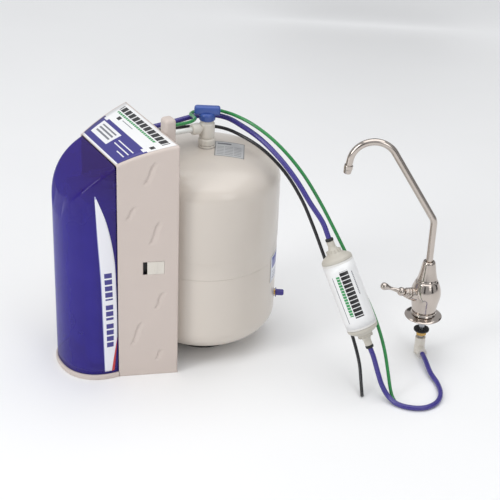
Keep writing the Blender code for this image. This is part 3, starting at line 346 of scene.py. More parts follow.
def draw_roof(u, v):
    """Roof label: u runs from the near side to the far side, v from the seam to the back."""
    heading = patch(u, v, 0.05, 0.95, 0.80, 0.935) * dashes(u, 0.078, 0.82)
    sub_heading = patch(u, v, 0.14, 0.93, 0.73, 0.775) * dashes(u, 0.038, 0.8)
    return [
        (v < 0.52, INDIGO),
        (v < 0.035, WHITE),
        (patch(u, v, 0.50, 0.93, 0.14, 0.44), WHITE),
        (patch(u, v, 0.55, 0.88, 0.19, 0.39) * dashes(v, 0.072, 0.5), GREY),
        (patch(u, v, 0.08, 0.44, 0.33, 0.35), WHITE),
        (patch(u, v, 0.08, 0.44, 0.25, 0.27), WHITE),
        (patch(u, v, 0.08, 0.26, 0.17, 0.19), WHITE),
        (patch(u, v, 0.90, 0.97, 0.47, 0.52).either(patch(u, v, 0.03, 0.10, 0.47, 0.52)), WHITE),
        (heading, BLACK),
        (sub_heading, GREEN),
        (patch(u, v, 0.52, 0.74, 0.66, 0.675), GREY),
        (patch(u, v, 0.78, 0.84, 0.62, 0.70), BLACK),
        (patch(u, v, 0.03, 0.085, 0.60, 0.68), BLACK),
    ]


def draw_sail(u, v):
    """Sail on the cover's side: v runs from its foot to its tip."""
    words = v.within(0.14, 0.285).either(v.within(0.305, 0.40)).either(v.within(0.42, 0.575))
    blocks = words * dashes(v, 0.0365, 0.76) * u.within(0.24, 0.74)
    sliver = ((1 - u) < (0.30 - v * 1.5)) * (v < 0.20)
    edge = (u < 0.05).either(v > 0.985)
    return [(edge, (170, 175, 215)), (blocks, INDIGO), (sliver, RED)]


def draw_filter(u, v):
    """Post filter label: u round the body, v along it from the bottom."""
    heading = patch(u, v, 0.43, 0.60, 0.16, 0.90) * dashes(v, 0.064, 0.82)
    green_line = patch(u, v, 0.34, 0.41, 0.20, 0.84) * dashes(v, 0.045, 0.82)
    grey_line = patch(u, v, 0.665, 0.69, 0.48, 0.86) * dashes(v, 0.026, 0.7)
    near_line = patch(u, v, 0.255, 0.27, 0.10, 0.84)
    return [(heading, BLACK), (green_line, GREEN), (grey_line, GREY), (near_line, GREY)]


def draw_dome(u, v):
    """Rating label on the tank's dome: a pale ground, a frame and rows of grey bars."""
    rim = 1 - patch(u, v, 0.03, 0.97, 0.035, 0.965)
    rows = patch(u, v, 0.08, 0.90, 0.10, 0.70) * dashes(v, 0.10, 0.34)
    return [(rim, (150, 150, 150)), (rows * (u % 0.31 > 0.03), (140, 140, 142)),
            (patch(u, v, 0.08, 0.55, 0.78, 0.88), (96, 98, 104))]


def draw_side(u, v):
    """Small label on the tank's side, with broad blue bars."""
    rows = patch(u, v, 0.15, 0.85, 0.08, 0.42) * dashes(v, 0.11, 0.4)
    return [(patch(u, v, 0.1, 0.9, 0.52, 0.94), (62, 72, 160)), (rows, (150, 156, 180))]


HOUSING = moulded("warm_grey_housing", (208, 195, 187), 0.45, 0.9, 0.006, 0.02)
COVER = cover_finish()
COVER_INSIDE = inner_skin()
TANK = enamel("cream_enamel", (212, 203, 193))
WHITE_PLASTIC = moulded("white_acetal", (222, 216, 206), 0.32)
CARTRIDGE = moulded("cartridge_plastic", (226, 226, 222), 0.3)
CAP = moulded("filter_cap_plastic", (196, 191, 180), 0.45, 0.7, 0.02)
SHELL = moulded("filter_shell_plastic", (226, 224, 220), 0.35)
BLUE = moulded("blue_lever_plastic", (58, 86, 160), 0.3, 0.8, 0.02, 0.08, Coat_Weight=0.2)
VIOLET = moulded("violet_cap_plastic", (72, 60, 146), 0.35, 0.8, 0.02, 0.08)
DARK = moulded("black_plastic", (26, 26, 28), 0.45)
RUBBER = moulded("black_rubber", (30, 30, 31), 0.75, 0.6, 0.05)
BUTYL = moulded("bladder_rubber", (40, 40, 42), 0.65, 1.0, 0.06)
STEEL = plated("stainless_steel", (176, 178, 182), 0.28, (1, 1, 0.1))
BRASS = plated("brass", (196, 160, 96), 0.25)
NICKEL = plated("polished_nickel", (198, 188, 180), 0.13)
GREEN_TUBE = tubing("green_tubing", (36, 132, 66))
BLACK_TUBE = tubing("black_tubing", (26, 26, 30))
BLUE_TUBE = tubing("blue_tubing", (58, 48, 132))
WHITE_TUBE = tubing("white_tubing", (222, 222, 218))
ROOF_LABEL = printed("roof_label", draw_roof, (240, 240, 240))
SAIL = printed("sail_label", draw_sail, (238, 238, 244))
FILTER_LABEL = printed("filter_label", draw_filter, (240, 240, 240))
DOME_LABEL = printed("dome_label", draw_dome, (196, 196, 196))
SIDE_LABEL = printed("side_label", draw_side, (222, 226, 236))


# --- making pieces ------------------------------------------------------------------

def finished(item, finish, body="unit", stands_for=(), slot=None):
    """Hands the object to the scene, parents it to its body's empty and hides the frame nodes it
    stands for.
    """
    if item.name not in bpy.context.scene.collection.objects:
        bpy.context.scene.collection.objects.link(item)
    item.data.materials.append(finish)
    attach(item, body)
    if stands_for:
        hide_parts(*stands_for)
    return item


def piece(name, form, finish, body="unit", stands_for=(), slot=None, closed=True, sharp=32,
          wall=0.0):
    """Turns a shape in millimetres into an object. An open shape gets its wall inwards."""
    bmesh.ops.remove_doubles(form, verts=form.verts, dist=0.002)
    if closed:
        bmesh.ops.recalc_face_normals(form, faces=form.faces)
    bmesh.ops.scale(form, vec=(MM, MM, MM), verts=form.verts)
    mesh = bpy.data.meshes.new(name)
    form.to_mesh(mesh)
    form.free()
    mesh.shade_smooth()
    mesh.set_sharp_from_angle(angle=math.radians(sharp))
    item = bpy.data.objects.new(name, mesh)
    if wall:
        thick = item.modifiers.new("wall", "SOLIDIFY")
        thick.thickness = wall * MM
        thick.offset = -1
        thick.use_even_offset = True
    return finished(item, finish, body, stands_for, slot)


def grid(form, columns, rows, put):
    """Adds a grid whose corner at u, v, each 0 to 1, goes where put says."""
    if not form.loops.layers.uv:
        form.loops.layers.uv.new("UVMap")
    made = bmesh.ops.create_grid(form, x_segments=columns, y_segments=rows, size=0.5,
                                 calc_uvs=True)
    for corner in made["verts"]:
        corner.co = put(corner.co.x + 0.5, corner.co.y + 0.5)
    return made["verts"]


def softened(outline, radius, steps=4):
    """The outline with each of its inner corners rounded."""
    points = [Vector(point) for point in outline]
    result = [points[0]]
    for before, corner, after in zip(points, points[1:], points[2:]):
        first, second = before - corner, after - corner
        back = min(radius, first.length * 0.45, second.length * 0.45)
        start = corner + first.normalized() * back
        end = corner + second.normalized() * back
        for step in range(steps + 1):
            t = step / steps
            result.append(start * (1 - t) ** 2 + corner * 2 * t * (1 - t) + end * t ** 2)
    return result + [points[-1]]


def smooth_route(points, steps=12):
    """Points close together on one smooth curve through the given ones."""
    points = [Vector(point) for point in points]
    ends = [points[0] * 2 - points[1], *points, points[-1] * 2 - points[-2]]
    route = [points[0]]
    for p0, p1, p2, p3 in zip(ends, ends[1:], ends[2:], ends[3:]):
        t1 = (p1 - p0).length ** 0.5
        t2 = t1 + (p2 - p1).length ** 0.5
        t3 = t2 + (p3 - p2).length ** 0.5
        for step in range(1, steps + 1):
            t = t1 + (t2 - t1) * step / steps
            a1 = p0 * ((t1 - t) / t1) + p1 * (t / t1)
            a2 = p1 * ((t2 - t) / (t2 - t1)) + p2 * ((t - t1) / (t2 - t1))
            a3 = p2 * ((t3 - t) / (t3 - t2)) + p3 * ((t - t2) / (t3 - t2))
            b1 = a1 * ((t2 - t) / t2) + a2 * (t / t2)
            b2 = a2 * ((t3 - t) / (t3 - t1)) + a3 * ((t - t1) / (t3 - t1))
            route.append(b1 * ((t2 - t) / (t2 - t1)) + b2 * ((t - t1) / (t2 - t1)))
    return route


def spin(form, outline, centre=(0, 0, 0), axis=(0, 0, 1), steps=64, scallop=None):
    """Turns an outline of (radius, height) about axis through centre, and adds it to form."""
    corners = [form.verts.new((max(radius, 0.0), 0, height)) for radius, height in outline]
    edges = [form.edges.new(pair) for pair in zip(corners, corners[1:])]
    before = set(form.verts) - set(corners)
    bmesh.ops.spin(form, geom=corners + edges, cent=(0, 0, 0), axis=(0, 0, 1),
                   angle=math.tau, steps=steps, use_merge=True, use_duplicate=False)
    made = [corner for corner in form.verts if corner not in before]
    if scallop:
        for corner in made:
            corner.co.xy *= scallop(math.atan2(corner.co.y, corner.co.x), corner.co.z)
    turn = Vector((0, 0, 1)).rotation_difference(Vector(axis)).to_matrix().to_4x4()
    bmesh.ops.transform(form, matrix=Matrix.Translation(Vector(centre)) @ turn, verts=made)


def spun(name, outline, finish, centre=(0, 0, 0), axis=(0, 0, 1), steps=64, scallop=None, **more):
    form = bmesh.new()
    spin(form, outline, centre, axis, steps, scallop)
    return piece(name, form, finish, **more)


def block(form, size, place, turn=0.0, corner=2.0, segments=5):
    """Adds a box with rounded edges, turned about Z."""
    made = bmesh.ops.create_cube(form, size=1)["verts"]
    bmesh.ops.scale(form, vec=size, verts=made)
    edges = list({edge for point in made for edge in point.link_edges})
    rounded = bmesh.ops.bevel(form, geom=edges, offset=corner, segments=segments, profile=0.5,
                              affect="EDGES", material=-1)
    made = list({*rounded["verts"], *(point for point in made if point.is_valid)})
    spot = Matrix.Translation(Vector(place)) @ Matrix.Rotation(turn, 4, "Z")
    bmesh.ops.transform(form, matrix=spot, verts=made)


def tube(name, route, diameter, finish, **more):
    """A round tube along points in metres."""
    curve = bpy.data.curves.new(name, "CURVE")
    curve.dimensions = "3D"
    curve.bevel_depth = diameter / 2
    curve.bevel_resolution = 8
    curve.use_fill_caps = True
    spline = curve.splines.new("POLY")
    spline.points.add(len(route) - 1)
    for point, spot in zip(spline.points, route):
        point.co = (*spot, 1)
    spline.use_smooth = True
    return finished(bpy.data.objects.new(name, curve), finish, **more)


def length_of(route):
    return sum((after - before).length for before, after in zip(route, route[1:]))


def along_filter(distance):
    """A point on the post filter's axis, in millimetres."""
    return FILTER_TOP + FILTER_AXIS * distance


# --- post filter, which hangs in the blue tube --------------------------------------

FILTER_RADIUS = 29.0
FILTER_HALF = 65.0


def make_post_filter():
    centre = along_filter(FILTER_MIDDLE)
    shell = [(0, FILTER_HALF), (FILTER_RADIUS, FILTER_HALF), (FILTER_RADIUS, -FILTER_HALF),
             (0, -FILTER_HALF)]
    spun("post_filter_shell", softened(shell, 1.2), SHELL, centre, -FILTER_AXIS,
         stands_for=["post_filter_body"], slot="filter_shell", steps=96)
    fittings = {}
    cap = [(0, 38), (7, 38), (7, 27), (10, 20.5), (13, 18.4), (14, 14.5), (24, 9), (28.4, 5),
           (29, 0.6), (29, 0), (0, 0)]
    for end, outward in (("top", -FILTER_AXIS), ("bottom", FILTER_AXIS)):
        seat = centre + outward * (FILTER_HALF + GAP)
        form = bmesh.new()
        spin(form, softened(cap, 1.6, 5), seat, outward, 96)
        for rib in range(12):
            turn = math.tau * rib / 12
            side = outward.orthogonal().normalized()
            side.rotate(Matrix.Rotation(turn, 3, outward))
            fin = bmesh.ops.create_cube(form, size=1)["verts"]
            bmesh.ops.scale(form, vec=(1.2, 7.0, 14), verts=fin)
            upright = Matrix((side.cross(outward), side, outward)).transposed().to_4x4()
            spot = seat + outward * 14 + side * 10.5
            bmesh.ops.transform(form, matrix=Matrix.Translation(spot) @ upright, verts=fin)
        fittings[end] = [piece(f"post_filter_{end}_cap", form, CAP, slot="filter_cap",
                               stands_for=[f"post_filter_cap_{end}"])]
        ring = [(4.9, 5), (6.6, 5), (7.5, 4), (7.5, 0), (4.9, 0), (4.9, 5)]
        fittings[end].append(spun(f"post_filter_{end}_collet", softened(ring, 0.5, 3), DARK,
                                  seat + outward * 38.3, outward, 48, slot="black_plastic",
                                  stands_for=[f"post_filter_collet_{end}"]))

    azimuth = math.radians(VIEW_AZIMUTH)
    facing = Vector((math.sin(azimuth), -math.cos(azimuth), 0.5))
    front = (facing - FILTER_AXIS * facing.dot(FILTER_AXIS)).normalized()
    side = FILTER_AXIS.cross(front)

    def wrap(u, v):
        angle = math.radians(-95 + 190 * u)
        out = front * math.cos(angle) - side * math.sin(angle)
        return centre + out * (FILTER_RADIUS + 0.2) + FILTER_AXIS * (FILTER_HALF - 4) * (1 - 2 * v)

    label = bmesh.new()
    grid(label, 64, 8, wrap)
    piece("post_filter_label", label, FILTER_LABEL, slot="filter_shell", closed=False, wall=0.15)
    return fittings


# --- cords: routes in metres --------------------------------------------------------

SMALL_TUBE = 0.00635
LARGE_TUBE = 0.0095
ELBOW_WAY = Vector((0.93, -0.37, 0)).normalized()
ELBOW_MOUTH = FAUCET * MM + Vector((0, 0, 0.012)) + ELBOW_WAY * 0.024

GREEN_ROUTE = [
    (0.050, 0.126619, 0.476), (0.050, 0.138619, 0.476), (0.046, 0.158, 0.475),
    (0.031, 0.175, 0.472), (0.009, 0.184, 0.467), (-0.015, 0.190, 0.462),
    (-0.031, 0.206, 0.4585), (-0.034, 0.227, 0.4575), (-0.023, 0.247, 0.458),
    (0.000, 0.257, 0.460), (0.024, 0.264, 0.461), (0.055, 0.278, 0.4555),
    (0.088, 0.297, 0.440), (0.121, 0.317, 0.415), (0.149, 0.339, 0.379),
    (0.176, 0.360, 0.333), (0.200, 0.376, 0.290), (0.231, 0.393, 0.238),
    (0.268, 0.409, 0.181), (0.303, 0.420, 0.128), (0.329, 0.423, 0.085),
    (0.348, 0.422, 0.047), (0.359, 0.4215, 0.022), (0.368, 0.421, 0.0085),
    (0.378, 0.420, 0.0036)]
BLACK_ROUTE = [
    (-0.016325, 0.109319, 0.441), (-0.016325, 0.123319, 0.441), (-0.019, 0.168, 0.438),
    (-0.025, 0.203, 0.432), (-0.021, 0.234, 0.429), (0.000, 0.253, 0.429),
    (0.038, 0.266, 0.428), (0.080, 0.289, 0.413), (0.119, 0.315, 0.379),
    (0.148, 0.337, 0.332), (0.170, 0.353, 0.281), (0.191, 0.367, 0.227),
    (0.215, 0.379, 0.175), (0.242, 0.389, 0.124), (0.268, 0.395, 0.081),
    (0.295, 0.394, 0.043), (0.318, 0.385, 0.017), (0.340, 0.374, 0.0037)]
BLUE_UPPER_ROUTE = [
    (-0.03265, 0.109319, 0.441), (-0.03265, 0.127319, 0.442), (-0.036, 0.172, 0.444),
    (-0.038, 0.208, 0.446), (-0.030, 0.240, 0.447), (-0.006, 0.260, 0.447),
    (0.034, 0.272, 0.443), (0.078, 0.287, 0.431), (0.119, 0.303, 0.408),
    (0.156, 0.319, 0.376), (0.187, 0.332, 0.341), along_filter(-30) * MM,
    along_filter(-0.3) * MM]
BLUE_LOWER_ROUTE = [
    along_filter(217.5) * MM, along_filter(235.2) * MM, (0.345, 0.401, 0.051),
    (0.356, 0.405, 0.028), (0.371, 0.410, 0.012), (0.390, 0.416, 0.0056),
    (0.411, 0.431, 0.0052), (0.424, 0.456, 0.0052), (0.420, 0.485, 0.0052),
    (0.400, 0.509, 0.0052), (0.370, 0.524, 0.0056), (0.338, 0.531, 0.0085),
    ELBOW_MOUTH + ELBOW_WAY * 0.026, ELBOW_MOUTH + ELBOW_WAY * 0.0003]


def make_cord(name, points, diameter, finish, slot, with_pieces=()):
    route = smooth_route(points)
    cord = tube(name + "_cord", route, diameter, finish, stands_for=[name], slot=slot)
    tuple(route[0])
    length_of(route)
    list(with_pieces)


def make_cords():
    fittings = make_post_filter()
    make_cord("green_tube", GREEN_ROUTE, SMALL_TUBE, GREEN_TUBE, "green_tubing")
    make_cord("black_tube", BLACK_ROUTE, SMALL_TUBE, BLACK_TUBE, "black_tubing")
    make_cord("blue_tube_upper", BLUE_UPPER_ROUTE, LARGE_TUBE, BLUE_TUBE, "blue_tubing",
              fittings["top"])
    make_cord("blue_tube_lower", BLUE_LOWER_ROUTE, LARGE_TUBE, BLUE_TUBE, "blue_tubing",
              fittings["bottom"])


# --- clear cover and its tray -------------------------------------------------------

COVER_FILLET = 8.0


def cover_roof(y):
    share = (y - RIDGE_Y) / (ROOF_REACH - COVER_DROP)
    return SPRING_Z + (ROOF_RISE - COVER_DROP) * math.sqrt(max(0.0, 1 - share ** 2))


def housing_roof(y):
    return SPRING_Z + ROOF_RISE * math.sqrt(1 - ((y - RIDGE_Y) / ROOF_REACH) ** 2)


def half_width(y):
    return HALF_SEAM + (HALF_BACK - HALF_SEAM) * y / HOUSING_DEPTH


def cover_plan(turn, outset=0.0):
    """A point of the cover's plan, turn 0 at its right edge and 1 at its left edge."""
    angle = math.pi * turn
    power = 2 / COVER_SQUARENESS
    x = math.copysign(abs(math.cos(angle)) ** power, math.cos(angle))
    y = math.sin(angle) ** power if math.sin(angle) > 1e-9 else 0.0
    return Vector(((COVER_HALF + outset) * x, COVER_EDGE - (COVER_DEPTH + outset) * y, 0))


def cover_side(y, outset):
    """How far out the cover's right side is at y."""
    depth = min(1.0, (COVER_EDGE - y) / COVER_DEPTH)
    return COVER_HALF * (1 - depth ** COVER_SQUARENESS) ** (1 / COVER_SQUARENESS) + outset


def make_cover():
    centre = Vector((0, COVER_EDGE, 0))
    wall_share, fillet_share = 0.30, 0.45

    def on_roof(rim, inward):
        spot = rim.lerp(centre, inward)
        return Vector((spot.x, spot.y, cover_roof(spot.y)))

    def put(u, v):
        rim = cover_plan(1 - u)
        top = cover_roof(rim.y)
        cut = COVER_FILLET / (centre - rim).length
        if v <= wall_share + 1e-6:
            return Vector((rim.x, rim.y, COVER_Z + (top - COVER_FILLET - COVER_Z) * v / wall_share))
        if v <= fillet_share + 1e-6:
            t = (v - wall_share) / (fillet_share - wall_share)
            low = Vector((rim.x, rim.y, top - COVER_FILLET))
            corner = Vector((rim.x, rim.y, top))
            return (low * (1 - t) ** 2 + corner * 2 * t * (1 - t)
                    + on_roof(rim, cut) * t ** 2)
        t = (v - fillet_share) / (1 - fillet_share)
        return on_roof(rim, cut + (1 - cut) * t ** 1.8)

    form = bmesh.new()
    grid(form, 128, 80, put)
    cover = piece("tinted_cover", form, COVER, body="cover", stands_for=["front_cover"],
                  slot="clear_cover", closed=False, wall=WALL)
    cover.data.materials.append(COVER_INSIDE)
    cover.modifiers["wall"].material_offset = 1


def make_sail():
    """The printed film on the cover's right side."""
    foot, tip = 15.5, 378.5
    front = smooth_route([(379, -39), (300, -36), (200, -31), (110, -29), (15, -27)])
    back = smooth_route([(379, -37.5), (324, -19), (253, -6), (191, -3), (86, -2.2), (15, -8)])

    def edge(route, high):
        for before, after in zip(route, route[1:]):
            if after.x <= high <= before.x:
                share = (before.x - high) / (before.x - after.x)
                return before.y + (after.y - before.y) * share
        return route[-1].y if high < route[-1].x else route[0].y

    def put(u, v):
        high = foot + (tip - foot) * v
        y = edge(front, high) * (1 - u) + edge(back, high) * u
        return Vector((cover_side(y, 0.35), y, high))

    form = bmesh.new()
    grid(form, 10, 90, put)
    piece("cover_sail", form, SAIL, body="cover", slot="clear_cover", closed=False, wall=0.15)


def make_tray():
    """The tray's lip, which the cover stands on, with a rounded top edge."""
    lip = softened([(-60, 0), (3, 0), (3, 10), (-60, 10)], 2.2, 5)

    def put(u, v):
        spot = lip[round(v * (len(lip) - 1))]
        outline = cover_plan(1 - u, max(spot.x, -8))
        if spot.x < -20:
            outline = Vector((outline.x * 0.2, COVER_EDGE - 10, 0))
        return Vector((outline.x, min(outline.y, COVER_EDGE), spot.y))

    form = bmesh.new()
    grid(form, 128, len(lip) - 1, put)
    piece("tray_lip", form, HOUSING, stands_for=["base_tray"], slot="housing_plastic",
          closed=False)


# --- housing ------------------------------------------------------------------------

HOUSING_FILLET = 5.0
LEAF_STEP = 2.8
LEAF_WIDTH = 9.0
LEAVES = (((64, 437), (43, 393)), ((29, 353), (13, 327)), ((71, 322), (52, 274)),
          ((77, 177), (62, 141)), ((39, 116), (20, 66)), ((74, 54), (63, 31)))


def leaf_depth(y, z):
    """How deep the leaf pattern is pressed into the housing's side."""
    depth = 0.0
    for (top_y, top_z), (low_y, low_z) in LEAVES:
        share = (top_z - z) / (top_z - low_z)
        if not 0 < share < 1:
            continue
        stem = top_y + (low_y - top_y) * share - 1.4 * math.sin(math.tau * share)
        past = y - stem
        if -1.2 < past < LEAF_WIDTH:
            rise = min(1.0, (past + 1.2) / 2.4)
            fade = min(1.0, math.sin(math.pi * share) * 2.5)
            depth = max(depth, LEAF_STEP * rise * fade * (1 - max(0.0, past) / LEAF_WIDTH))
    return depth


def stops(*pairs):
    """Positions between the given ones, with the number of equal steps between each two."""
    values = [pairs[0]]
    for steps, end in pairs[1:]:
        start = values[-1]
        values += [start + (end - start) * step / steps for step in range(1, steps + 1)]
    return values


def make_housing():
    depths = stops(0.0, (22, WINDOW_Y[0]), (18, WINDOW_Y[1]), (12, HOUSING_DEPTH))
    heights = stops(0.0, (100, WINDOW_Z[0]), (12, WINDOW_Z[1]), (90, housing_roof(0) - 5))
    form = bmesh.new()
    for sign in (1, -1):
        def side(u, v, sign=sign):
            y = depths[round(u * (len(depths) - 1))]
            top = housing_roof(y) - HOUSING_FILLET
            z = heights[round((v if sign > 0 else 1 - v) * (len(heights) - 1))]
            if z > WINDOW_Z[1]:
                reach = (z - WINDOW_Z[1]) / (heights[-1] - WINDOW_Z[1])
                z = WINDOW_Z[1] + reach * (top - WINDOW_Z[1])
            return Vector((sign * (half_width(y) - leaf_depth(y, z)), y, z))
        grid(form, len(depths) - 1, len(heights) - 1, side)

    def roof(u, v):
        y = depths[round(v * (len(depths) - 1))]
        top, wide = housing_roof(y), half_width(y)
        edge = 0.1
        if u <= edge or u >= 1 - edge:
            sign = -1 if u <= edge else 1
            angle = (u if u <= edge else 1 - u) / edge * math.pi / 2
            return Vector((sign * (wide - HOUSING_FILLET * (1 - math.cos(angle))), y,
                           top - HOUSING_FILLET * (1 - math.sin(angle))))
        reach = (u - edge) / (1 - 2 * edge) * 2 - 1
        return Vector((reach * (wide - HOUSING_FILLET), y, top))

    grid(form, 60, len(depths) - 1, roof)
    half_window = (WINDOW_Z[1] - WINDOW_Z[0]) / 2
    hidden = [face for face in form.faces
              if abs(face.calc_center_median().z - WINDOW_MIDDLE_Z) < half_window
              and WINDOW_Y[0] < face.calc_center_median().y < WINDOW_Y[1]]
    bmesh.ops.delete(form, geom=hidden, context="FACES")

    arc_half = math.asin(math.sqrt(RECESS_RADIUS ** 2 - (TANK_Y - HOUSING_DEPTH) ** 2)
                         / RECESS_RADIUS)
    ceiling = housing_roof(HOUSING_DEPTH)

    def recess(u):
        if u < 0.15 or u > 0.85:
            share = u / 0.15 if u < 0.15 else (1 - u) / 0.15
            reach = HALF_BACK + (RECESS_RADIUS * math.sin(arc_half) - HALF_BACK) * share
            return Vector((reach if u < 0.15 else -reach, HOUSING_DEPTH, 0))
        angle = arc_half * (1 - 2 * (u - 0.15) / 0.7)
        return Vector((RECESS_RADIUS * math.sin(angle), TANK_Y - RECESS_RADIUS * math.cos(angle), 0))

    def back(u, v):
        return recess(u) + Vector((0, 0, RECESS_Z * v))

    def crescent(u, v):
        spot = recess(0.15 + 0.7 * u)
        return Vector((spot.x, spot.y + (HOUSING_DEPTH - spot.y) * v, RECESS_Z))

    def upper(u, v):
        reach = HALF_BACK - (HOUSING_FILLET * max(0.0, v - 0.9) / 0.1)
        return Vector((reach * (1 - 2 * u), HOUSING_DEPTH, RECESS_Z + (ceiling - RECESS_Z) * v))

    grid(form, 80, 12, back)
    grid(form, 56, 4, crescent)
    grid(form, 30, 10, upper)
    piece("housing_shell", form, HOUSING, stands_for=["rear_housing"], slot="housing_plastic",
          closed=False, wall=WALL)


def make_roof_label():
    def put(u, v):
        y = 1.0 + (HOUSING_DEPTH - 3) * v
        wide = half_width(y) - HOUSING_FILLET - 1
        return Vector((wide * (1 - 2 * u), y, housing_roof(y) + 0.2))

    form = bmesh.new()
    grid(form, 16, 40, put)
    piece("roof_label", form, ROOF_LABEL, slot="housing_plastic", closed=False, wall=0.15)


def make_latch_shadow_blocks():
    """Dark blocks behind the latch windows: painted shade standing for the shaded inside of the
    housing.
    """
    for side, sign in (("right", 1), ("left", -1)):
        form = bmesh.new()
        slope = (HALF_BACK - HALF_SEAM) / HOUSING_DEPTH
        turn = -sign * math.atan(slope)
        depth = half_width(WINDOW_MIDDLE_Y) - 9
        block(form, (1.6, WINDOW_Y[1] - WINDOW_Y[0] + 8, 34),
              (sign * depth, WINDOW_MIDDLE_Y, WINDOW_MIDDLE_Z), turn, 0.6, 2)
        piece(f"latch_painted_shadow_{side}", form, DARK, slot="black_plastic")


def make_ports():
    for node, inner in (("tank_port", 5.05), ("drain_port", 3.475), ("product_port", 5.05)):
        centre = middle(node)
        outer = inner + 2.1
        outline = [(inner, 5), (outer, 5), (outer + 1.5, 4), (outer + 1.5, GAP), (outer, GAP),
                   (outer, -9), (inner, -9), (inner, 5)]
        spun(node + "_collet", softened(outline, 0.5, 3), WHITE_PLASTIC,
             (centre.x, HOUSING_DEPTH, centre.z), (0, 1, 0), 48, stands_for=[node],
             slot="white_plastic")
    low, high = span("outlet_boot")
    form = bmesh.new()
    block(form, high - low, (low + high) / 2, 0, 7, 8)
    piece("feed_boot", form, HOUSING, stands_for=["outlet_boot"], slot="housing_plastic")


# --- cartridges ---------------------------------------------------------------------

def make_cartridges():
    foot = [(15.4 + 12.6 * math.cos(math.radians(a)), 30.6 - 12.6 * math.sin(math.radians(a)))
            for a in range(0, 91, 10)]
    body = [(0, 348.4), (20, 348.4), (20, 336), (25, 336), (28, 333), (28, 300), (27.4, 299),
            (27.4, 296), (28, 295), (28, 70), (27.4, 69), (27.4, 66), (28, 65), *foot, (0, 18)]
    for kind in ("sediment", "carbon", "carbon_block", "membrane"):
        centre = middle("cartridge_" + kind)
        spun(kind + "_cartridge", body, CARTRIDGE, (centre.x, centre.y, 0), steps=64,
             body=kind + "_cartridge", stands_for=["cartridge_" + kind],
             slot="cartridge_plastic")


# --- pressure tank ------------------------------------------------------------------

DOME_RISE = 60.0
DOME_SQUARENESS = 2.35
SHEET = 1.6                     # thickness of the tank's steel
OUTWARD = Vector((0.5, 0.866, 0))


def quarter(radius, rise, squareness, steps=26):
    """Points of a rounded shoulder from (radius, 0) to (0, rise)."""
    power = 2 / squareness
    angles = [math.pi / 2 * step / steps for step in range(steps + 1)]
    return [(radius * max(0.0, math.cos(a)) ** power, rise * math.sin(a) ** power)
            for a in angles]


def shell(outline, bore):
    """A closed outline for sheet steel: the outside, then the inside."""
    outside = [point for point in outline if point[0] > bore] + [(bore, outline[-1][1])]
    sense = 1 if outside[-1][1] > outside[0][1] else -1
    inside = [(max(bore, radius - SHEET), height - sense * SHEET * (radius < TANK_RADIUS * 0.9))
              for radius, height in reversed(outside)]
    return [*outside, *inside, outside[0]]


def make_tank():
    dome_start = TANK_TOP - DOME_RISE
    dome = [(radius, dome_start + rise)
            for radius, rise in quarter(TANK_RADIUS, DOME_RISE, DOME_SQUARENESS)]
    band, fold = TANK_RADIUS - 0.7, TANK_SEAM + 37
    upper = [(band - 0.5, TANK_SEAM), (band, TANK_SEAM + 0.8), (band, fold - 1.6),
             (band + 0.35, fold - 0.9), (TANK_RADIUS, fold), (TANK_RADIUS, dome_start - 1), *dome]
    spun("tank_upper_shell", shell(upper, 6.8), TANK, (0, TANK_Y, 0), steps=160,
         stands_for=["tank_shell_upper"], slot="tank_steel")
    narrow = TANK_RADIUS - 1.2
    foot_z, foot_rise = 72.0, 66.0
    foot = [(radius, foot_z - rise) for radius, rise in quarter(narrow, foot_rise, 2.0)]
    low = [(narrow, TANK_SEAM - 0.3), (narrow, foot_z + 1), *foot]
    spun("tank_lower_shell", shell(low, 0.0), TANK, (0, TANK_Y, 0), steps=160,
         stands_for=["tank_shell_lower"], slot="tank_steel")
    flange = [(7.2, 400.3), (16, 400.3), (16, 404.3), (7.2, 404.3), (7.2, 400.3)]
    spun("stem_collar", softened(flange, 1.0, 3), WHITE_PLASTIC, (0, TANK_Y, 0), steps=64,
         slot="white_plastic")


def dome_height(radius):
    rise = (1 - (radius / TANK_RADIUS) ** DOME_SQUARENESS) ** (1 / DOME_SQUARENESS)
    return TANK_TOP - DOME_RISE + DOME_RISE * rise


def make_tank_labels():
    across = Vector((0.866, -0.5, 0))
    axis = Vector((0, TANK_Y, 0))

    def on_dome(u, v):
        spot = axis + OUTWARD * (43 + 55 * (u - 0.5)) + across * (6 + 64 * (0.5 - v))
        spot.z = dome_height((spot - axis).length) + 0.25
        return spot

    def on_side(u, v):
        angle = math.radians(62 - 24 * (1 - u))
        reach = TANK_RADIUS - 0.5
        return Vector((reach * math.cos(angle), TANK_Y + reach * math.sin(angle), 143 + 56 * v))

    form = bmesh.new()
    grid(form, 16, 16, on_dome)
    piece("tank_rating_label", form, DOME_LABEL, slot="tank_steel", closed=False, wall=0.1)
    form = bmesh.new()
    grid(form, 12, 4, on_side)
    piece("tank_side_label", form, SIDE_LABEL, slot="tank_steel", closed=False, wall=0.1)


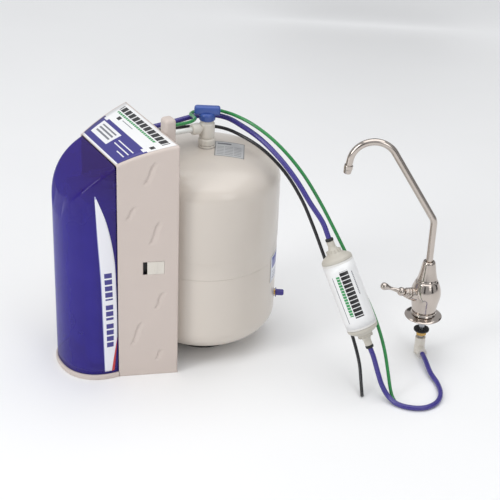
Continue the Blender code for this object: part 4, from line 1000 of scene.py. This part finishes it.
def make_tank_valve():
    body = [(0, 452.8), (10, 452.8), (12, 450.8), (12, 448.8), (14.5, 445.8), (14.5, 420.8),
            (12, 417.8), (15.5, 415.8), (15.5, 405.8), (14.5, 404.8), (0, 404.8)]
    form = bmesh.new()
    spin(form, softened(body, 1.0, 3), (0, TANK_Y, 0), steps=64,
         scallop=lambda angle, z: 1 + 0.02 * math.cos(12 * angle) * (405.5 < z < 416.2))
    arm = [(4.9, 0), (7.5, 0), (7.5, 24), (4.9, 24), (4.9, 0)]
    spin(form, softened(arm, 0.5, 2), (0, TANK_Y, TUBE_Z), (0, -1, 0), 48)
    piece("tank_ball_valve", form, WHITE_PLASTIC, stands_for=["tank_valve_body"],
          slot="white_plastic")
    nut = [(5.05, 15), (9.5, 15), (10.5, 13), (10.5, 0), (7.8, 0), (7.8, 7.8), (5.05, 7.8),
           (5.05, 15)]
    spun("tank_tube_nut", softened(nut, 0.7, 3), WHITE_PLASTIC, (0, TANK_Y - 16.5, TUBE_Z),
         (0, -1, 0), 72, stands_for=["tank_valve_nut"], slot="white_plastic",
         scallop=lambda angle, z: 1 + 0.035 * math.cos(18 * angle) * (z < 12))
    hub = 453.1
    handle = bmesh.new()
    skirt = [(3.3, hub), (15, hub), (15, hub + 10), (12.5, hub + 14), (3.3, hub + 14),
             (3.3, hub)]
    spin(handle, softened(skirt, 1.5, 4), (0, TANK_Y, 0), steps=72,
         scallop=lambda angle, z: 1 + 0.02 * math.cos(16 * angle) * (z < hub + 9))
    block(handle, (48, 15, 17), (0, TANK_Y, hub + 18), math.radians(60), 5, 6)
    piece("valve_lever", handle, BLUE, body="valve_handle", stands_for=["tank_valve_handle"],
          slot="blue_plastic")
    start = Vector((0, HOUSING_DEPTH + 5.3, TUBE_Z)) * MM
    end = Vector((0, TANK_Y - 24.3, TUBE_Z)) * MM
    tube("tank_feed_tube", [start.lerp(end, step / 6) for step in range(7)], LARGE_TUBE,
         WHITE_TUBE, stands_for=["tank_tube"], slot="white_tubing")
    air_centre = Vector((69.5, 336.9, 94))
    cap = [(0, 19), (4.6, 19), (6, 16.5), (6, 4.5), (9, 4), (9, 2.5), (4.4, 2.5), (4.4, 16),
           (0, 16)]
    spun("air_valve_blue_cap", softened(cap, 0.7, 3), VIOLET, air_centre, OUTWARD.normalized(), 72,
         body="air_cap", stands_for=["air_valve_cap"], slot="blue_plastic",
         scallop=lambda angle, z: 1 + 0.03 * math.cos(16 * angle))


# --- faucet -------------------------------------------------------------------------

def flowing(points, steps=8):
    """A turned outline that runs smoothly through its points."""
    return [tuple(point) for point in smooth_route(points, steps)]


def faucet_part(name, outline, seat, node, axis=(0, 0, 1), body="unit", steps=96):
    return spun(name, outline, NICKEL, seat, axis, steps, body=body, stands_for=[node],
                slot="nickel")


def spout_path():
    """The spout's centre line as (forward, up) from the collar's foot, in millimetres."""
    run_out, run_up = 80.4, 126.6
    bend_radius, crook_radius = 26, 44
    end_lean, end_run = 8, 9
    slope = math.degrees(math.atan2(run_up, run_out))

    def arc(centre, radius, start, end, steps):
        angles = [math.radians(start + (end - start) * n / steps) for n in range(steps + 1)]
        return [(centre[0] + radius * math.cos(a), centre[1] + radius * math.sin(a))
                for a in angles]

    path = [(0, 0.6), (0, 41)] + arc((bend_radius, 119), bend_radius, 180, 90 + slope, 14)
    path.append((path[-1][0] + run_out, path[-1][1] + run_up))
    lean = math.radians(slope)
    centre = (path[-1][0] + math.sin(lean) * crook_radius,
              path[-1][1] - math.cos(lean) * crook_radius)
    path += arc(centre, crook_radius, 90 + slope, end_lean, 36)[1:]
    lean = math.radians(end_lean)
    path.append((path[-1][0] + math.sin(lean) * end_run, path[-1][1] - math.cos(lean) * end_run))
    return path


def make_faucet():
    flange_z, body_z, lever_z, cone_z = 85.0, 92.0, 126.0, 163.3
    flange = softened([(5.8, 6.7), (20, 6.7), (24, 5.2), (33, 2.8), (36, 1.2), (36, 0),
                       (5.8, 0), (5.8, 6.7)], 1.2, 4)
    faucet_part("faucet_base_flange", flange, FAUCET + Vector((0, 0, flange_z)), "faucet_flange")
    waist = flowing([(24.5, 0), (22.9, 2.6), (23.6, 9), (25.5, 21), (28.4, 35), (29, 44),
                     (27, 56), (22.4, 67.5)])
    body = [(6, 0), *waist, (21.4, 69.4), (20.4, 70), (19.4, 71), (0, 71), (0, 12), (6, 12), (6, 0)]
    form = bmesh.new()
    spin(form, body, FAUCET + Vector((0, 0, body_z)), steps=128)
    lever_start = FAUCET + Vector((0, 0, lever_z))
    boss = softened([(0, 0), (13.5, 24), (12.4, 29), (12, 38), (0, 38)], 2.0, 4)
    spin(form, boss, lever_start, LEVER_AXIS, 72)
    piece("faucet_bell", form, NICKEL, stands_for=["faucet_body"], slot="nickel")
    bonnet = softened([(0, 13), (7, 13), (7.5, 11), (9, 10.4), (9.8, 8.5), (9, 6.8), (8.6, 5.6),
                       (10.6, 4.6), (11, 2.6), (10.4, 0), (0, 0)], 0.7, 3)
    faucet_part("side_valve_bonnet", bonnet, lever_start + LEVER_AXIS * 38.3, "faucet_bonnet",
                LEVER_AXIS)
    hinge = lever_start + LEVER_AXIS * 51.6
    knob = flowing([(0, 14), (4, 13.5), (7.5, 11), (8.5, 7), (7.5, 3), (5, 0)], 6) + [(0, 0)]
    grip = flowing([(0, 42), (4, 41), (6.5, 38), (7.3, 34), (6.3, 30), (4, 25), (3.2, 18),
                    (4.4, 8), (5, 0)], 6) + [(0, 0)]
    form = bmesh.new()
    spin(form, knob, hinge, LEVER_AXIS, 64)
    way = (FORWARD + Vector((0, 0, 0.30))).normalized()
    spin(form, grip, hinge + LEVER_AXIS * 7, way, 64)
    piece("side_lever", form, NICKEL, body="lever", stands_for=["faucet_lever"], slot="nickel")
    base = FAUCET + Vector((0, 0, cone_z))
    collar = softened([(6.9, 0.3), (20, 0.3), (20, 1.8), (18.6, 4.2), (15.2, 20), (12.2, 38),
                       (10.6, 41), (6.9, 41), (6.9, 0.3)], 1.4, 4)
    faucet_part("spout_collar", collar, base, "faucet_collar")
    path = [base + FORWARD * out + Vector((0, 0, up)) for out, up in spout_path()]
    tube("gooseneck", [spot * MM for spot in path], 0.013, NICKEL, body="spout",
         stands_for=["faucet_spout"], slot="nickel")
    outward = (path[-1] - path[-2]).normalized()
    tip = softened([(0, 12), (6, 12), (6, 17), (7.2, 16), (7.8, 9), (8.3, 8), (8.3, 1),
                    (7.8, 0), (0, 0)], 0.6, 3)
    faucet_part("spout_mouth", tip, path[-1] + outward * GAP, "faucet_spout_tip", outward,
                "spout")


# --- frame nodes that stay ----------------------------------------------------------

def dress_frame():
    finishes = {
        "latch_tab_right": WHITE_PLASTIC, "latch_tab_left": WHITE_PLASTIC,
        "filter_head": CARTRIDGE, "shutoff_valve_body": WHITE_PLASTIC,
        "shutoff_valve_cap": BLUE, "flow_restrictor": WHITE_PLASTIC,
        "head_screw_1": STEEL, "head_screw_2": STEEL, "head_screw_3": STEEL,
        "head_screw_4": STEEL, "tank_bladder": BUTYL, "tank_stem": STEEL,
        "tank_base_ring": DARK, "tank_valve_ball": STEEL, "air_valve_stem": BRASS,
        "faucet_shank": STEEL, "faucet_rubber_washer": RUBBER, "faucet_plastic_washer": DARK,
        "faucet_nut": BRASS, "faucet_elbow": WHITE_PLASTIC,
    }
    for node, finish in finishes.items():
        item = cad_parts[node]
        if not item.material_slots:
            item.data.materials.append(finish)
        item.material_slots[0].material = finish


# --- studio -------------------------------------------------------------------------

def softbox(name, place, target, wide, tall, power):
    data = bpy.data.lights.new(name, "AREA")
    data.shape = "RECTANGLE"
    data.size, data.size_y = wide, tall
    data.energy = power
    lamp = bpy.data.objects.new(name, data)
    bpy.context.scene.collection.objects.link(lamp)
    lamp.location = place
    lamp.rotation_euler = (Vector(target) - Vector(place)).to_track_quat("-Z", "Y").to_euler()


def stage_sheet(name, corners, finish):
    form = bmesh.new()
    form.faces.new([form.verts.new(corner) for corner in corners])
    mesh = bpy.data.meshes.new(name)
    form.to_mesh(mesh)
    form.free()
    mesh.materials.append(finish)
    item = bpy.data.objects.new(name, mesh)
    bpy.context.scene.collection.objects.link(item)
    return item


def make_studio():
    floor = Finish("studio_floor", Roughness=0.6)
    grain = floor.noise(300, 2)
    floor.set("Base Color", floor.blend(grain, tint(246, 246, 246), tint(250, 250, 250)))
    stage_sheet("studio_floor", [(-9, -9, 0), (9, -9, 0), (9, 9, 0), (-9, 9, 0)], floor.material)
    card = Finish("dark_card", Roughness=0.9)
    card.set("Base Color", card.blend(card.noise(200), tint(40, 40, 42), tint(52, 52, 54)))
    places = ((1.1, 2.2), (-1.5, 1.6), (2.2, -1.6), (-0.9, -2.0), (2.6, 1.2), (0.0, 2.6))
    for number, (x, y) in enumerate(places):
        across = Vector((-(y - 0.5), x - 0.2, 0)).normalized() * 0.3
        spot = Vector((x, y, 0.1))
        item = stage_sheet(f"dark_card_{number}", [spot - across, spot + across,
                           spot + across + Vector((0, 0, 1.5)),
                           spot - across + Vector((0, 0, 1.5))], card.material)
        item.visible_camera = False
        item.visible_shadow = False
    world = bpy.data.worlds.new("studio")
    world.use_nodes = True
    world.node_tree.nodes["Background"].inputs[0].default_value = (0.95, 0.97, 1.0, 1)
    world.node_tree.nodes["Background"].inputs[1].default_value = 0.52
    bpy.context.scene.world = world
    softbox("front_left", (0.4, -2.6, 1.6), (0, 0.1, 0.25), 0.9, 2.2, 30)
    softbox("overhead", (0.2, 0.4, 4.0), (0.1, 0.2, 0), 4.5, 4.5, 92)
    softbox("right", (3.0, 0.6, 1.8), (0.1, 0.2, 0.2), 1.2, 1.8, 12)
    bpy.context.scene.view_settings.view_transform = "Standard"


make_cords()
make_cover()
make_sail()
make_tray()
make_housing()
make_roof_label()
make_latch_shadow_blocks()
make_ports()
make_cartridges()
make_tank()
make_tank_labels()
make_tank_valve()
make_faucet()
dress_frame()
make_studio()
